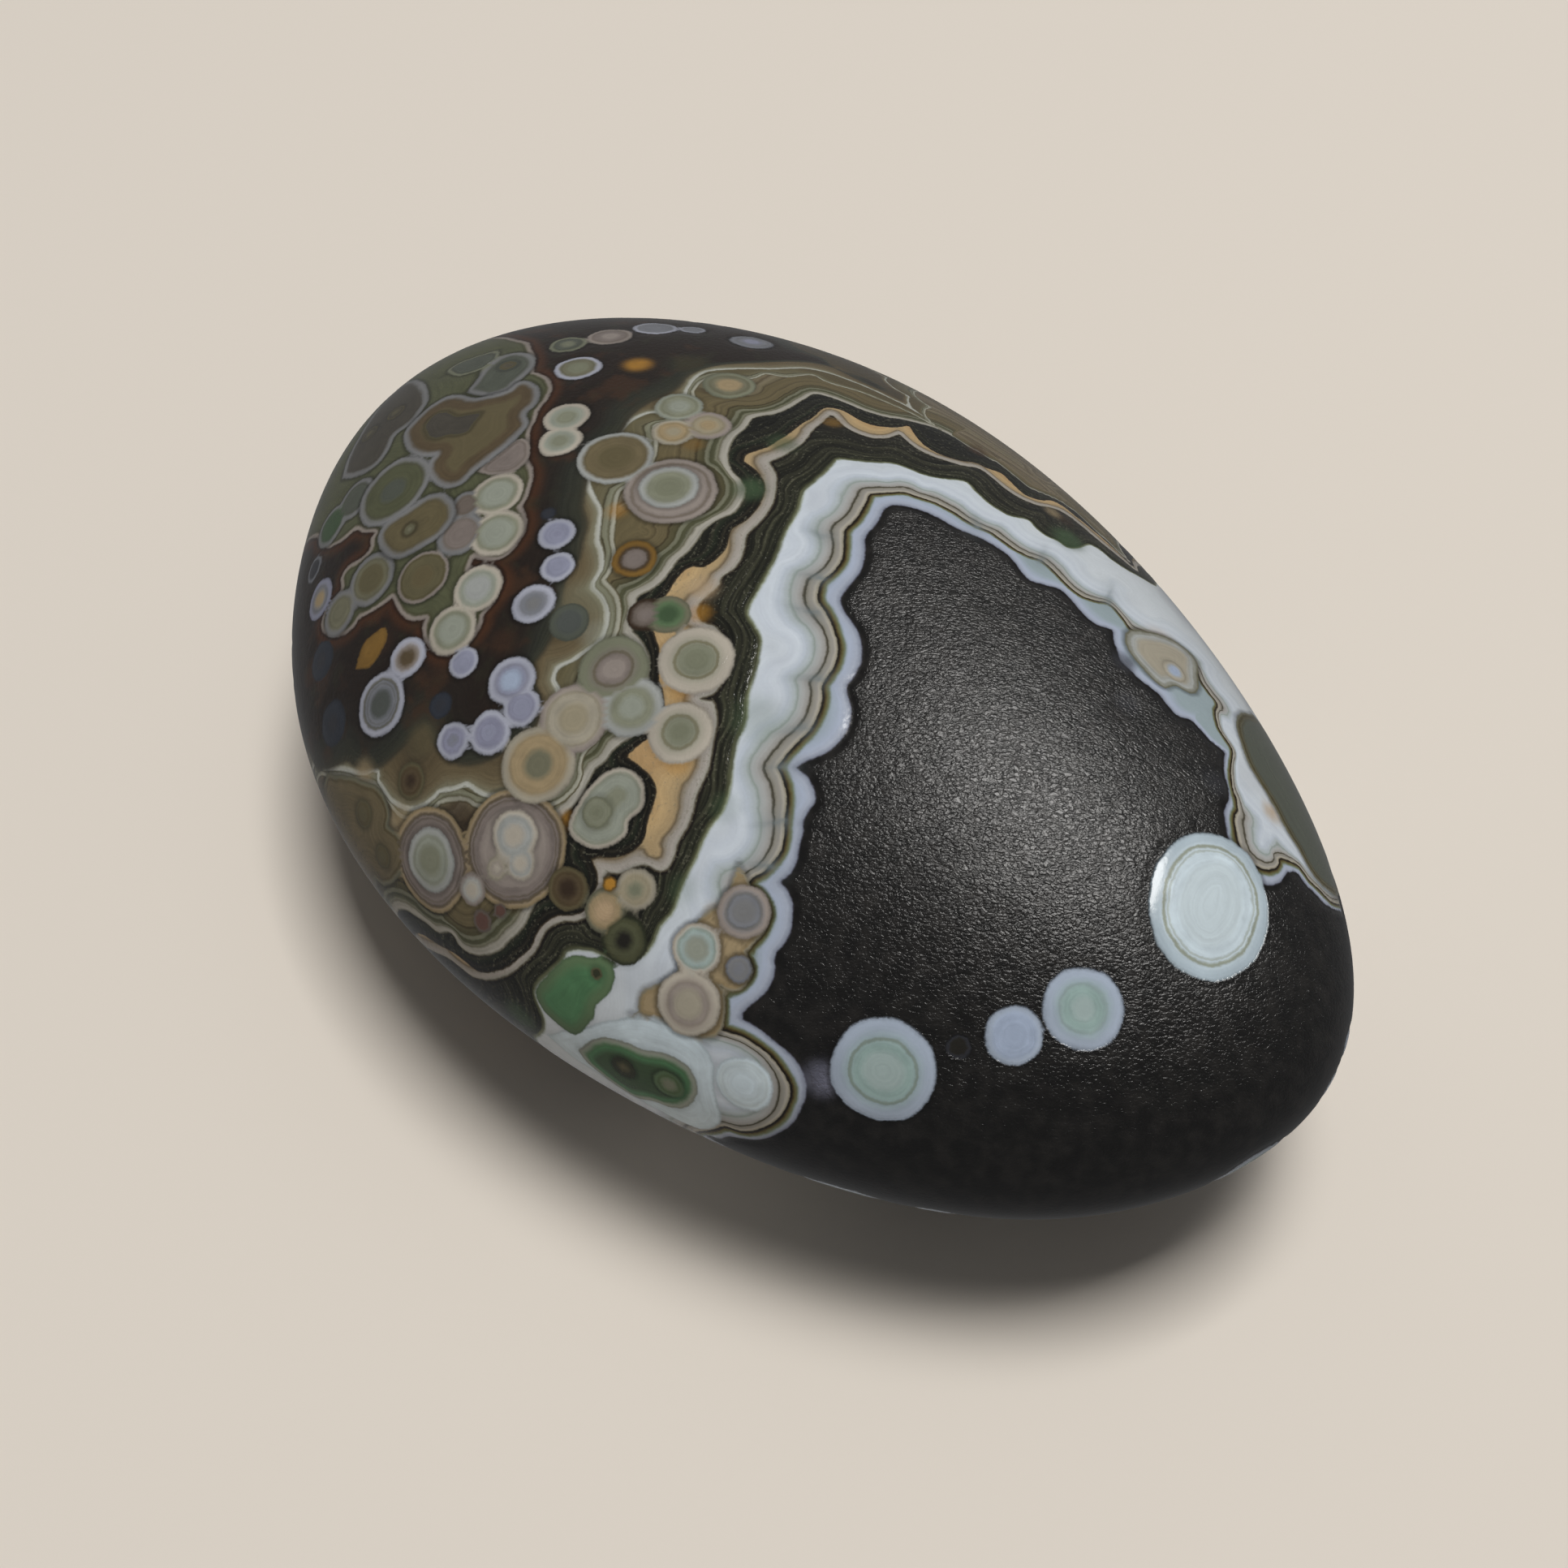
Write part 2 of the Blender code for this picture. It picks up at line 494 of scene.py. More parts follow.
            (1400, 702), (1380, 682), (1352, 657), (1330, 639), (1312, 625), (1298, 617),
            (1283, 616), (1263, 609), (1246, 594), (1234, 583), (1217, 577), (1203, 570),
            (1183, 567), (1160, 560), (1140, 549), (1129, 537), (1120, 523), (1108, 526),
            (1097, 526), (1074, 523), (1057, 516), (1040, 506), (1024, 502), (1014, 503),
            (1001, 514), (985, 524), (973, 534), (960, 542), (944, 551), (931, 555), (919, 560),
            (915, 568), (926, 575), (937, 586), (942, 599), (940, 611), (931, 627), (919, 640),
            (903, 650), (898, 660), (893, 676), (885, 686), (867, 699), (854, 697), (839, 706),
            (827, 722), (820, 732), (806, 745), (801, 765), (807, 786), (811, 800), (812, 823),
            (811, 839), (816, 853), (818, 869), (817, 887), (809, 901), (791, 914), (777, 926),
            (770, 932), (783, 941), (800, 956), (808, 973), (803, 994), (796, 1016), (793, 1035),
            (781, 1048), (762, 1056), (740, 1056), (724, 1048), (729, 1060), (735, 1078),
            (734, 1092), (726, 1106), (719, 1122), (706, 1127), (690, 1127), (676, 1134),
            (663, 1147), (653, 1168), (635, 1183), (621, 1193), (602, 1198), (588, 1196),
            (574, 1185), (558, 1173), (542, 1165), (522, 1152),
        ],
        "hidden": [
            (-97, -18), (-97, -34), (-96, -50), (-102, -68), (-115, -82), (84, -68),
            (86, -46), (83, -26), (84, -4), (76, 16),
        ],
        "streaks": 1.2,
        "edge": (-0.10, 0.0),
        "bands": [
            (-0.10, (118, 110, 94)), (-0.03, (68, 58, 42)), (0.05, (30, 26, 20)),
            (0.18, (22, 21, 17)), (0.28, (44, 41, 32)), (0.40, (23, 23, 18)),
            (0.62, (34, 39, 28)), (0.76, (48, 47, 37)), (0.88, (24, 24, 19)),
            (1.30, (36, 36, 28)), (1.50, (22, 22, 18)), (2.00, (24, 24, 19)),
        ],
    },
    {
        "name": "grey line",
        "seen": [
            (1397, 698), (1376, 677), (1350, 653), (1326, 631), (1304, 616), (1286, 608),
            (1268, 600), (1250, 586), (1232, 572), (1208, 558), (1183, 543), (1160, 530),
            (1140, 523), (1109, 516), (1094, 514), (1069, 507), (1034, 493), (1016, 487),
            (1003, 485), (991, 491), (975, 501), (957, 509), (939, 512), (926, 516), (919, 527),
            (906, 539), (898, 555), (897, 568), (903, 581), (913, 591), (919, 604), (915, 617),
            (903, 632), (885, 640), (870, 650), (859, 665), (847, 681), (836, 690), (827, 702),
            (818, 713), (804, 725), (791, 731), (785, 736), (784, 750), (781, 763), (778, 777),
            (788, 786), (796, 798), (800, 809), (800, 823), (797, 841), (795, 846), (802, 857),
            (804, 871), (803, 885), (795, 896), (781, 907), (768, 914), (759, 921), (747, 937),
            (734, 948), (724, 964), (718, 977), (706, 994), (694, 1004), (689, 1026), (686, 1050),
            (679, 1074), (669, 1098), (657, 1118), (645, 1142), (628, 1159), (617, 1170),
            (597, 1178), (579, 1175), (566, 1165), (555, 1149), (540, 1149), (527, 1139),
            (512, 1129),
        ],
        "hidden": [
            (-100, -12), (-104, -34), (-108, -52), (-130, -72), (130, -78), (96, -62),
            (94, -42), (90, -20), (90, 2), (79, 20),
        ],
        "streaks": 0.55,
        "edge": (-0.10, 0.0),
        "bands": [
            (-0.12, (44, 41, 29)), (0.0, (106, 102, 86)), (0.10, (170, 166, 155)),
            (0.36, (160, 156, 144)), (0.48, (108, 105, 86)), (0.56, (122, 121, 102)),
            (0.66, (84, 84, 62)), (0.82, (72, 72, 50)), (0.90, (112, 112, 92)),
            (1.04, (118, 117, 98)), (1.12, (74, 70, 48)), (1.40, (90, 84, 60)),
            (1.50, (62, 54, 36)), (1.60, (100, 90, 64)), (2.10, (108, 97, 70)),
            (2.20, (88, 78, 55)), (2.40, (106, 95, 68)), (3.10, (98, 88, 62)),
            (3.25, (84, 74, 54)), (3.45, (110, 101, 77)), (3.90, (126, 116, 93)),
            (4.10, (90, 79, 59)), (4.40, (116, 105, 82)), (5.00, (128, 117, 96)),
            (5.20, (92, 81, 61)), (5.60, (112, 101, 79)), (6.60, (120, 109, 88)),
            (6.90, (94, 83, 62)), (7.40, (108, 97, 73)), (9.00, (96, 86, 62)),
        ],
    },
    {
        "name": "outer double line",
        "seen": [
            (1160, 530), (1130, 513), (1097, 498), (1060, 483), (1016, 470), (1001, 462),
            (970, 465), (942, 461), (931, 466), (906, 465), (888, 462), (865, 470), (854, 483),
            (858, 496), (849, 509), (829, 520), (808, 523), (811, 547), (803, 573), (785, 593),
            (764, 606), (759, 640), (756, 663), (759, 683), (752, 704), (745, 715), (756, 725),
            (764, 741), (764, 763), (759, 782), (745, 800), (735, 810), (733, 823), (724, 841),
            (738, 850), (746, 859), (749, 875), (747, 894), (736, 912), (720, 930), (716, 946),
            (717, 953), (710, 970), (698, 984), (681, 994), (662, 997), (645, 994), (630, 989),
            (613, 994), (599, 997), (584, 994), (575, 987), (560, 987), (543, 990), (530, 1003),
            (510, 1010), (494, 1008), (480, 992), (468, 972), (450, 963), (430, 958), (402, 957),
        ],
        "hidden": [
            (-115, -8), (-118, -28), (-128, -50), (-150, -62), (150, -68), (116, -58),
            (108, -38), (104, -16), (112, 8), (107, 28),
        ],
        "streaks": 0.45,
        "edge": (-0.12, -0.05),
        "bands": [
            (-0.12, (66, 58, 38)), (-0.04, (98, 92, 70)), (0.05, (168, 166, 150)),
            (0.16, (158, 157, 141)), (0.26, (98, 95, 74)), (0.38, (130, 130, 110)),
            (0.52, (122, 121, 100)), (0.60, (70, 66, 48)), (0.74, (108, 102, 78)),
            (1.20, (100, 93, 68)), (2.00, (90, 81, 58)),
        ],
    },
    {
        "name": "inner double line",
        "seen": [
            (1150, 520), (1110, 497), (1060, 474), (1000, 455), (950, 455), (900, 455), (866, 460),
            (848, 478), (842, 495), (820, 507), (800, 509), (781, 518), (766, 531), (748, 545),
            (735, 565), (727, 590), (733, 610), (742, 627), (741, 647), (739, 665), (743, 679),
            (743, 699), (733, 718), (733, 723), (745, 736), (751, 754), (748, 775), (738, 793),
            (720, 805), (704, 816), (690, 823), (684, 836), (690, 849), (693, 868), (688, 885),
            (676, 902), (686, 915), (700, 929), (703, 938), (701, 953), (691, 969), (681, 980),
            (663, 984), (648, 982), (633, 975), (620, 982), (604, 984), (587, 977), (576, 967),
            (558, 975), (543, 977), (535, 985), (519, 996), (501, 999), (483, 990), (473, 977),
            (465, 962), (466, 948), (445, 956), (425, 951), (398, 949),
        ],
        "hidden": [
            (-117, -6), (-122, -26), (-132, -46), (-152, -56), (152, -62), (121, -53),
            (113, -35), (108, -14), (116, 9), (111, 30),
        ],
        "streaks": 0.45,
        "edge": (-0.10, -0.03),
        "bands": [
            (-0.12, (66, 60, 44)), (-0.04, (112, 110, 92)), (0.06, (182, 183, 174)),
            (0.20, (172, 172, 160)), (0.34, (126, 122, 100)), (0.60, (112, 103, 80)),
            (1.00, (104, 92, 68)), (1.80, (92, 80, 58)), (3.00, (74, 66, 50)),
        ],
    },
    {
        "name": "matrix",
        "seen": [
            (1110, 488), (1062, 465), (1000, 447), (930, 447), (880, 451), (850, 462), (835, 478),
            (815, 489), (800, 496), (781, 510), (766, 532), (750, 547), (735, 565), (726, 583),
            (722, 603), (719, 625), (724, 645), (719, 667), (715, 687), (702, 705), (693, 730),
            (690, 765), (672, 800), (655, 825), (662, 850), (668, 870), (662, 890), (650, 905),
            (632, 918), (605, 935), (575, 943), (548, 935), (533, 915), (524, 894), (519, 898),
            (510, 907), (496, 923), (481, 936), (466, 946), (451, 948), (437, 945), (429, 937),
            (419, 942), (407, 947), (391, 949), (386, 939),
        ],
        "hidden": [
            (-126, -18), (-138, -38), (-160, -50), (165, -54), (138, -46), (126, -30),
            (122, -10), (128, 14), (119, 36),
        ],
        "streaks": 0.6,
        "edge": (-0.28, 0.12),
        "bands": [
            (-0.28, (84, 75, 56)), (0.0, (64, 60, 47)), (0.35, (52, 53, 43)),
            (1.00, (44, 45, 38)), (1.80, (38, 32, 27)), (3.00, (36, 28, 23)),
        ],
    },
]


def smooth_line(points, closed):
    """A curve through the points, which keeps the sharp turns between lobes as corners."""
    at = np.asarray(points, float)
    before = np.roll(at, 1, 0)
    after = np.roll(at, -1, 0)
    if not closed:
        before[0] = at[0]
        after[-1] = at[-1]

    def unit(ways):
        return ways / np.maximum(np.linalg.norm(ways, axis=1, keepdims=True), 1e-9)

    come = unit(at - before)
    go = unit(after - at)
    corner = ((come * go).sum(1) < CORNER_COSINE)[:, None]
    through = unit(after - before)
    leave = np.where(corner, go, through)
    arrive = np.roll(np.where(corner, come, through), -1, 0)
    reach = np.linalg.norm(after - at, axis=1, keepdims=True)
    pieces = len(at) if closed else len(at) - 1
    share = (np.arange(LINE_STEPS) / LINE_STEPS)[None, :, None]
    start, end = at[:pieces, None], after[:pieces, None]
    first = (leave * reach)[:pieces, None]
    last = (arrive * reach)[:pieces, None]
    line = (
        (2 * share**3 - 3 * share**2 + 1) * start
        + (share**3 - 2 * share**2 + share) * first
        + (3 * share**2 - 2 * share**3) * end
        + (share**3 - share**2) * last
    ).reshape(-1, at.shape[1])
    return line if closed else np.vstack([line, at[-1:]])


def hidden_place(bearing, lift):
    """The place on the stone nearest to a bearing and lift on its ball."""
    target = STONE_MIDDLE + STONE_HALF * bearing_way(bearing, lift)
    return np.array(skin.find_nearest(Vector(target))[0])


def hidden_lobes(stops):
    """A front on the hidden side: lobes from stop to stop that bulge towards the basin."""
    line = []
    for start, end in zip(stops, stops[1:]):
        span = np.linalg.norm(end - start)
        lobes = max(1, round(span / LOBE_LENGTH))
        marks = np.linspace(0, 1, lobes + 1)
        for low, high in zip(marks, marks[1:]):
            cusp = start + (end - start) * low
            chord = (end - start) * (high - low)
            out = np.cross(cusp - STONE_MIDDLE, chord)
            out /= max(np.linalg.norm(out), 1e-9)
            bulge = LOBE_BULGE * np.linalg.norm(chord)
            for share in np.arange(LOBE_STEPS) / LOBE_STEPS:
                height = bulge * math.sin(math.pi * share) ** LOBE_ROUNDNESS
                spot = cusp + chord * share - out * height
                line.append(np.array(skin.find_nearest(Vector(spot))[0]))
    return line


def front_loop(seen, hidden):
    """A front as a closed line of places all round the stone."""
    shown = [np.array(on_stone(x, y)) for x, y in smooth_line(seen, closed=False)]
    stops = [shown[-1], *(hidden_place(*stop) for stop in hidden), shown[0]]
    return np.array(shown[:-1] + hidden_lobes(stops))


def flat_map(places):
    """All of the stone's surface as a flat disc, spread out from its brown end."""
    way = (places - STONE_MIDDLE) / STONE_HALF
    way /= np.linalg.norm(way, axis=1, keepdims=True)
    angle = np.arccos(np.clip(-way[:, 0], -1, 1))
    side = np.hypot(way[:, 1], way[:, 2])
    return way[:, 1:] * (angle / np.maximum(side, 1e-9))[:, None]


def inside_loop(loop, order, across, along):
    """Whether each place of the disc is inside a closed loop of it, by counting crossings."""
    odd = np.zeros(len(along), bool)
    for (start_x, start_y), (end_x, end_y) in zip(loop, np.roll(loop, -1, 0)):
        low, high = np.searchsorted(along, sorted((start_y, end_y)))
        if low < high:
            slope = (end_x - start_x) / (end_y - start_y)
            odd[low:high] ^= across[low:high] < start_x + (along[low:high] - start_y) * slope
    result = np.empty_like(odd)
    result[order] = odd
    return result


surface_disc = flat_map(surface)
disc_order = np.argsort(surface_disc[:, 1])
disc_across = surface_disc[disc_order, 0]
disc_along = surface_disc[disc_order, 1]

# The depth given to what lies too far from a line to be measured.
FAR = -9.0


def signed_distance(loop, margin=None):
    """Millimetres from each vertex to a closed line, above zero inside it."""
    depth = np.full(count, FAR)
    near = np.arange(count)
    if margin is not None:
        centre = loop.mean(0)
        radius = np.linalg.norm(loop - centre, axis=1).max() + margin
        near = np.flatnonzero(np.linalg.norm(surface - centre, axis=1) < radius)
    finder = KDTree(len(loop))
    for index, place in enumerate(loop):
        finder.insert(place, index)
    finder.balance()
    places = surface[near]
    nearest = np.array([finder.find(place)[1] for place in places])
    best = np.full(len(near), np.inf)
    for first in (nearest - 1, nearest):
        start = loop[first % len(loop)]
        along = loop[(first + 1) % len(loop)] - start
        length = np.maximum((along**2).sum(1), 1e-12)
        share = np.clip(((places - start) * along).sum(1) / length, 0, 1)
        best = np.minimum(best, np.linalg.norm(places - start - along * share[:, None], axis=1))
    within = inside_loop(flat_map(loop), disc_order, disc_across, disc_along)[near]
    depth[near] = np.where(within, best, -best)
    return depth


def keep_field(name, values):
    """Keeps one number for each vertex on the stone's mesh, for its material to read."""
    field = stone_mesh.attributes.new(name, "FLOAT", "POINT")
    field.data.foreach_set("value", values.astype(np.float32))


def keep_tint(name, values):
    """Keeps a colour and one more number for each vertex, for the material to read."""
    field = stone_mesh.attributes.new(name, "FLOAT_COLOR", "POINT")
    field.data.foreach_set("color", values.astype(np.float32).ravel())


# A front's curve is ironed flat over so many points, and its lobes are what stands off from that.
IRONING = 45
IRONED_TANGENT = 3
CUSP_REACH = 9
LEAST_LOBE = 1.2
LOBE_RADII = (0.9, 3.4)
LOBE_STRETCH = 6.0
SCALLOP_START = (0.15, 0.60)
BETWEEN_LOBES = 0.86
LEAST_BULGE = 0.12


def lobes_of(loop):
    """A front's lobes, from cusp to cusp: the centre, radius, way in and way up of each."""
    wrapped = np.vstack([loop[-IRONING:], loop, loop[:IRONING]])
    weights = np.hanning(IRONING + 2)[1:-1]
    ironed = np.stack([np.convolve(line, weights / weights.sum(), "same") for line in wrapped.T], 1)
    ironed = ironed[IRONING:-IRONING]
    up = (loop - STONE_MIDDLE) / STONE_HALF**2
    up /= np.linalg.norm(up, axis=1, keepdims=True)
    tangent = np.roll(ironed, -IRONED_TANGENT, 0) - np.roll(ironed, IRONED_TANGENT, 0)
    inward = np.cross(up, tangent)
    inward /= np.maximum(np.linalg.norm(inward, axis=1, keepdims=True), 1e-9)
    brown_end = STONE_MIDDLE - (STONE_HALF[0], 0, 0)
    if (inward * (brown_end - loop)).sum() < 0:
        inward = -inward
    lean = ((loop - ironed) * inward).sum(1)
    around = np.stack([np.roll(lean, turn) for turn in range(-CUSP_REACH, CUSP_REACH + 1)])
    cusps = np.flatnonzero(lean >= around.max(0))
    for start, end in zip(cusps, [*cusps[1:], cusps[0] + len(loop)]):
        span = np.arange(start, end + 1) % len(loop)
        chord = np.linalg.norm(loop[span[-1]] - loop[span[0]])
        if len(span) < 4 or chord < LEAST_LOBE:
            continue
        top = span[lean[span].argmin()]
        middle = (loop[span[0]] + loop[span[-1]]) / 2
        bulge = max(float(np.dot(middle - loop[top], inward[top])), LEAST_BULGE * chord)
        radius = float(np.clip((chord**2 / 4 + bulge**2) / (2 * bulge), *LOBE_RADII))
        yield loop[top] + inward[top] * radius, radius, inward[top], up[top]


def scalloped(loop, depth):
    """A front's depth field, whose deeper layers keep the round lobes and the creases between."""
    under_lobe = np.full(count, FAR)
    for centre, radius, inward, up in lobes_of(loop):
        near = np.flatnonzero(
            (np.linalg.norm(surface - centre, axis=1) < radius + LOBE_STRETCH) & (depth > 0)
        )
        away = surface[near] - centre
        away = away - (away @ up)[:, None] * up
        away = away - np.maximum(away @ inward, 0)[:, None] * inward
        under_lobe[near] = np.maximum(under_lobe[near], radius - np.linalg.norm(away, axis=1))
    low, high = SCALLOP_START
    share = np.clip((depth - low) / (high - low), 0, 1)
    return depth + share * (np.maximum(under_lobe, depth * BETWEEN_LOBES) - depth)


front_depth = {}
for front in FRONTS:
    loop = front_loop(front["seen"], front["hidden"])
    depth = signed_distance(loop)
    front_depth[front["name"]] = depth
    keep_field(front["name"], scalloped(loop, depth))


# The pockets and eyes. Round seeds grew rings of silica, so an eye is a disc with a pale rim, a
# body and often a core. Most are true circles on the surface; eyes that grew into each other are
# traced as one outline. They are laid in levels, and a later level covers an earlier one.
TONES.update({
    "shell": (158, 160, 156),
    "froth": (174, 188, 196),
    "mist": (112, 122, 124),
    "linen": (160, 153, 136),
    "fudge": (106, 95, 70),
    "peat": (82, 84, 61),
    "haze": (146, 168, 163),
    "frost": (158, 170, 190),
    "thistle": (136, 137, 156),
    "jade": (129, 131, 112),
    "clay": (122, 112, 106),
    "taupe": (106, 96, 88),
    "pewter": (80, 84, 74),
    "russet": (96, 70, 62),
    "bark": (70, 66, 58),
    "tarn": (46, 50, 58),
    "wine": (52, 32, 24),
})


def oval(x, y, half_long, half_short, turn):
    """Points round an oval in the photograph, whose long half is turned from straight right."""
    points = []
    for angle in np.linspace(0, math.tau, 16, endpoint=False):
        long, short = half_long * math.cos(angle), half_short * math.sin(angle)
        points.append((
            x + long * math.cos(turn) - short * math.sin(turn),
            y + long * math.sin(turn) + short * math.cos(turn),
        ))
    return points


# Level, rim width, rim, ring, body, depth of the core, core, edge, what is seen, what is hidden.
OUTLINES = [
    (0, 0.28, "rose", 0.6, "peat", 9, "peat", 0.8, [
        (391, 661), (393, 670), (403, 674), (416, 671), (428, 662), (439, 652), (446, 655),
        (462, 657), (457, 663), (457, 674), (446, 686), (430, 697), (421, 711), (419, 727),
        (409, 738), (399, 754), (396, 768), (398, 779), (408, 785), (423, 782), (435, 773),
        (444, 761), (460, 754), (473, 745), (483, 737), (487, 747), (496, 759), (510, 765),
        (524, 763), (520, 773), (521, 786), (531, 800), (544, 807), (560, 805), (576, 793),
        (588, 779), (595, 766), (597, 757), (608, 743), (617, 727), (620, 713), (615, 702),
        (604, 695), (590, 697), (578, 701), (584, 686), (600, 690), (613, 689), (629, 680),
        (642, 665), (649, 649), (649, 636), (642, 624), (651, 611), (656, 596), (657, 580),
        (650, 565), (653, 549), (653, 531), (660, 516), (666, 501), (677, 487), (681, 476),
        (677, 466), (668, 461), (658, 458), (660, 446), (657, 434), (650, 422),
    ], [(166, 24), (176, 6), (-170, -6), (-156, -4), (-147, 8)]),
    (0, 0.12, "sand", 0.3, "tan", 9, "tan", 0.6, [
        (910, 1063), (900, 1091), (888, 1114), (868, 1126), (843, 1154), (838, 1174), (834, 1197),
        (814, 1211), (791, 1223), (786, 1246), (773, 1250), (795, 1252), (820, 1258), (842, 1268),
        (861, 1280), (880, 1278), (889, 1267), (893, 1254), (893, 1240), (890, 1223), (884, 1211),
        (897, 1219), (908, 1219), (921, 1209), (927, 1197), (924, 1186), (919, 1173), (929, 1163),
        (941, 1148), (948, 1131), (947, 1117), (938, 1103), (924, 1090), (920, 1078),
    ], []),
    (0, 0.18, "ice", 0.0, "ice", 9, "ice", 0.1, [
        (773, 1252), (795, 1254), (820, 1260), (842, 1270), (861, 1282), (873, 1296), (879, 1315),
        (880, 1334), (884, 1359), (889, 1378), (880, 1392), (860, 1390), (800, 1362), (740, 1325),
        (700, 1298), (675, 1275), (690, 1272), (730, 1262),
    ], []),
    (0, 0.16, "khaki", 0.6, "shell", 0.7, "linen", 0.7, [
        (1395, 776), (1387, 781), (1388, 795), (1395, 808), (1409, 825), (1422, 838), (1436, 848),
        (1448, 845), (1463, 853), (1474, 854), (1478, 846), (1476, 830), (1474, 815), (1462, 800),
        (1440, 786), (1415, 778),
    ], []),
    (0, 0.16, "khaki", 1.0, "olive", 0.45, "pewter", 0.7, [
        (1544, 881), (1529, 878), (1523, 886), (1524, 901), (1531, 922), (1542, 948), (1554, 966),
        (1565, 984), (1580, 1014), (1590, 1030), (1603, 1053), (1616, 1076), (1632, 1094),
        (1647, 1104),
    ], [(36, 5), (44, 6), (52, 10)]),
    (0, 0.26, "khaki", 0.6, "fudge", 9, "fudge", 0.7, [
        (399, 967), (404, 952), (437, 957), (450, 963), (465, 969), (476, 985), (480, 1003),
        (478, 1018), (489, 1026), (496, 1041), (499, 1059), (494, 1077), (483, 1090), (473, 1092),
        (463, 1083),
    ], [(-103, -6), (-112, -8)]),
    (1, 0.66, "froth", 1.0, "ice", 1.6, "white", 0.7, oval(1489.6, 1117.1, 91.8, 73.3, 1.404), []),
    (1, 0.60, "fern", 0.0, "emerald", 1.5, "emerald", 0.1, [
        (660, 1217), (672, 1205), (694, 1183), (710, 1177), (732, 1180), (741, 1177), (751, 1186),
        (757, 1202), (751, 1221), (735, 1239), (732, 1255), (719, 1271), (707, 1276), (691, 1265),
        (672, 1249), (660, 1230),
    ], []),
    (1, 0.36, "celadon", 0.3, "emerald", 0.80, "forest", 0.2, [
        (711, 1293), (735, 1279), (763, 1282), (789, 1293), (820, 1299), (848, 1315), (859, 1334),
        (858, 1353), (845, 1365), (826, 1365), (804, 1357), (785, 1353), (763, 1340), (741, 1324),
        (723, 1309),
    ], []),
    (1, 0.22, "cream", 0.3, "celadon", 1.0, "jade", 0.9, [
        (703, 1006), (715, 984), (735, 960), (754, 946), (774, 948), (791, 960), (796, 977),
        (791, 997), (776, 1011), (774, 1026), (762, 1038), (742, 1046), (720, 1043), (703, 1026),
    ], []),
    (1, 0.42, "ash", 0.4, "bark", 9, "bark", 0.8, [
        (510, 468), (520, 471), (527, 480), (528, 492), (522, 504), (510, 518), (498, 528),
        (488, 535), (484, 542), (478, 556), (468, 570), (456, 580), (440, 587), (420, 591),
        (430, 562), (455, 518), (485, 482),
    ], []),
    (1, 0.42, "ash", 0.3, "pewter", 9, "pewter", 0.8, [
        (573, 483), (584, 472), (595, 456), (611, 443), (629, 435), (646, 434), (657, 438),
        (660, 448), (651, 459), (637, 470), (626, 480), (600, 488),
    ], []),
    (1, 0.20, "sage", 0.3, "pewter", 9, "pewter", 0.7, [
        (540, 466), (550, 458), (556, 462), (568, 463), (586, 458), (602, 450), (614, 438),
        (617, 430), (590, 438), (560, 450),
    ], []),
    (1, 0.18, "rose", 0.2, "clay", 9, "clay", 0.6, [
        (587, 580), (604, 585), (624, 584), (640, 576), (651, 563), (653, 549), (649, 542),
        (638, 541), (618, 556), (600, 570),
    ], []),
    (1, 0.10, "honey", 0.0, "honey", 9, "honey", 0.0, [
        (473, 770), (477, 782), (468, 805), (455, 822), (437, 827), (441, 808), (452, 788),
    ], []),
    (2, 0.42, "ash", 0.3, "bronze", 9, "bronze", 0.7, [
        (520, 614), (530, 609), (544, 608), (556, 614), (561, 626), (559, 638), (550, 652),
        (538, 664), (522, 674), (506, 684), (492, 689), (476, 686), (467, 674), (466, 660),
        (474, 646), (486, 636), (502, 626),
    ], []),
    (2, 0.42, "ash", 0.3, "brown", 1.2, "bronze", 0.7, [
        (497, 540), (500, 530), (510, 518), (524, 504), (538, 495), (552, 488), (566, 486),
        (585, 490), (600, 487), (626, 480), (638, 471), (651, 470), (662, 476), (665, 485),
        (660, 498), (649, 510), (651, 521), (644, 532), (633, 543), (618, 556), (612, 560),
        (598, 571), (586, 580), (572, 594), (556, 601), (540, 599), (530, 590), (527, 580),
        (528, 570), (534, 562), (526, 563), (510, 560), (502, 554),
    ], []),
    (3, 0.10, "olive", 0.0, "bark", 9, "bark", 0.6, [
        (524, 524), (528, 538), (538, 540), (552, 536), (562, 536), (576, 532), (584, 522),
        (594, 508), (578, 510), (562, 512), (552, 507), (536, 510),
    ], []),
]

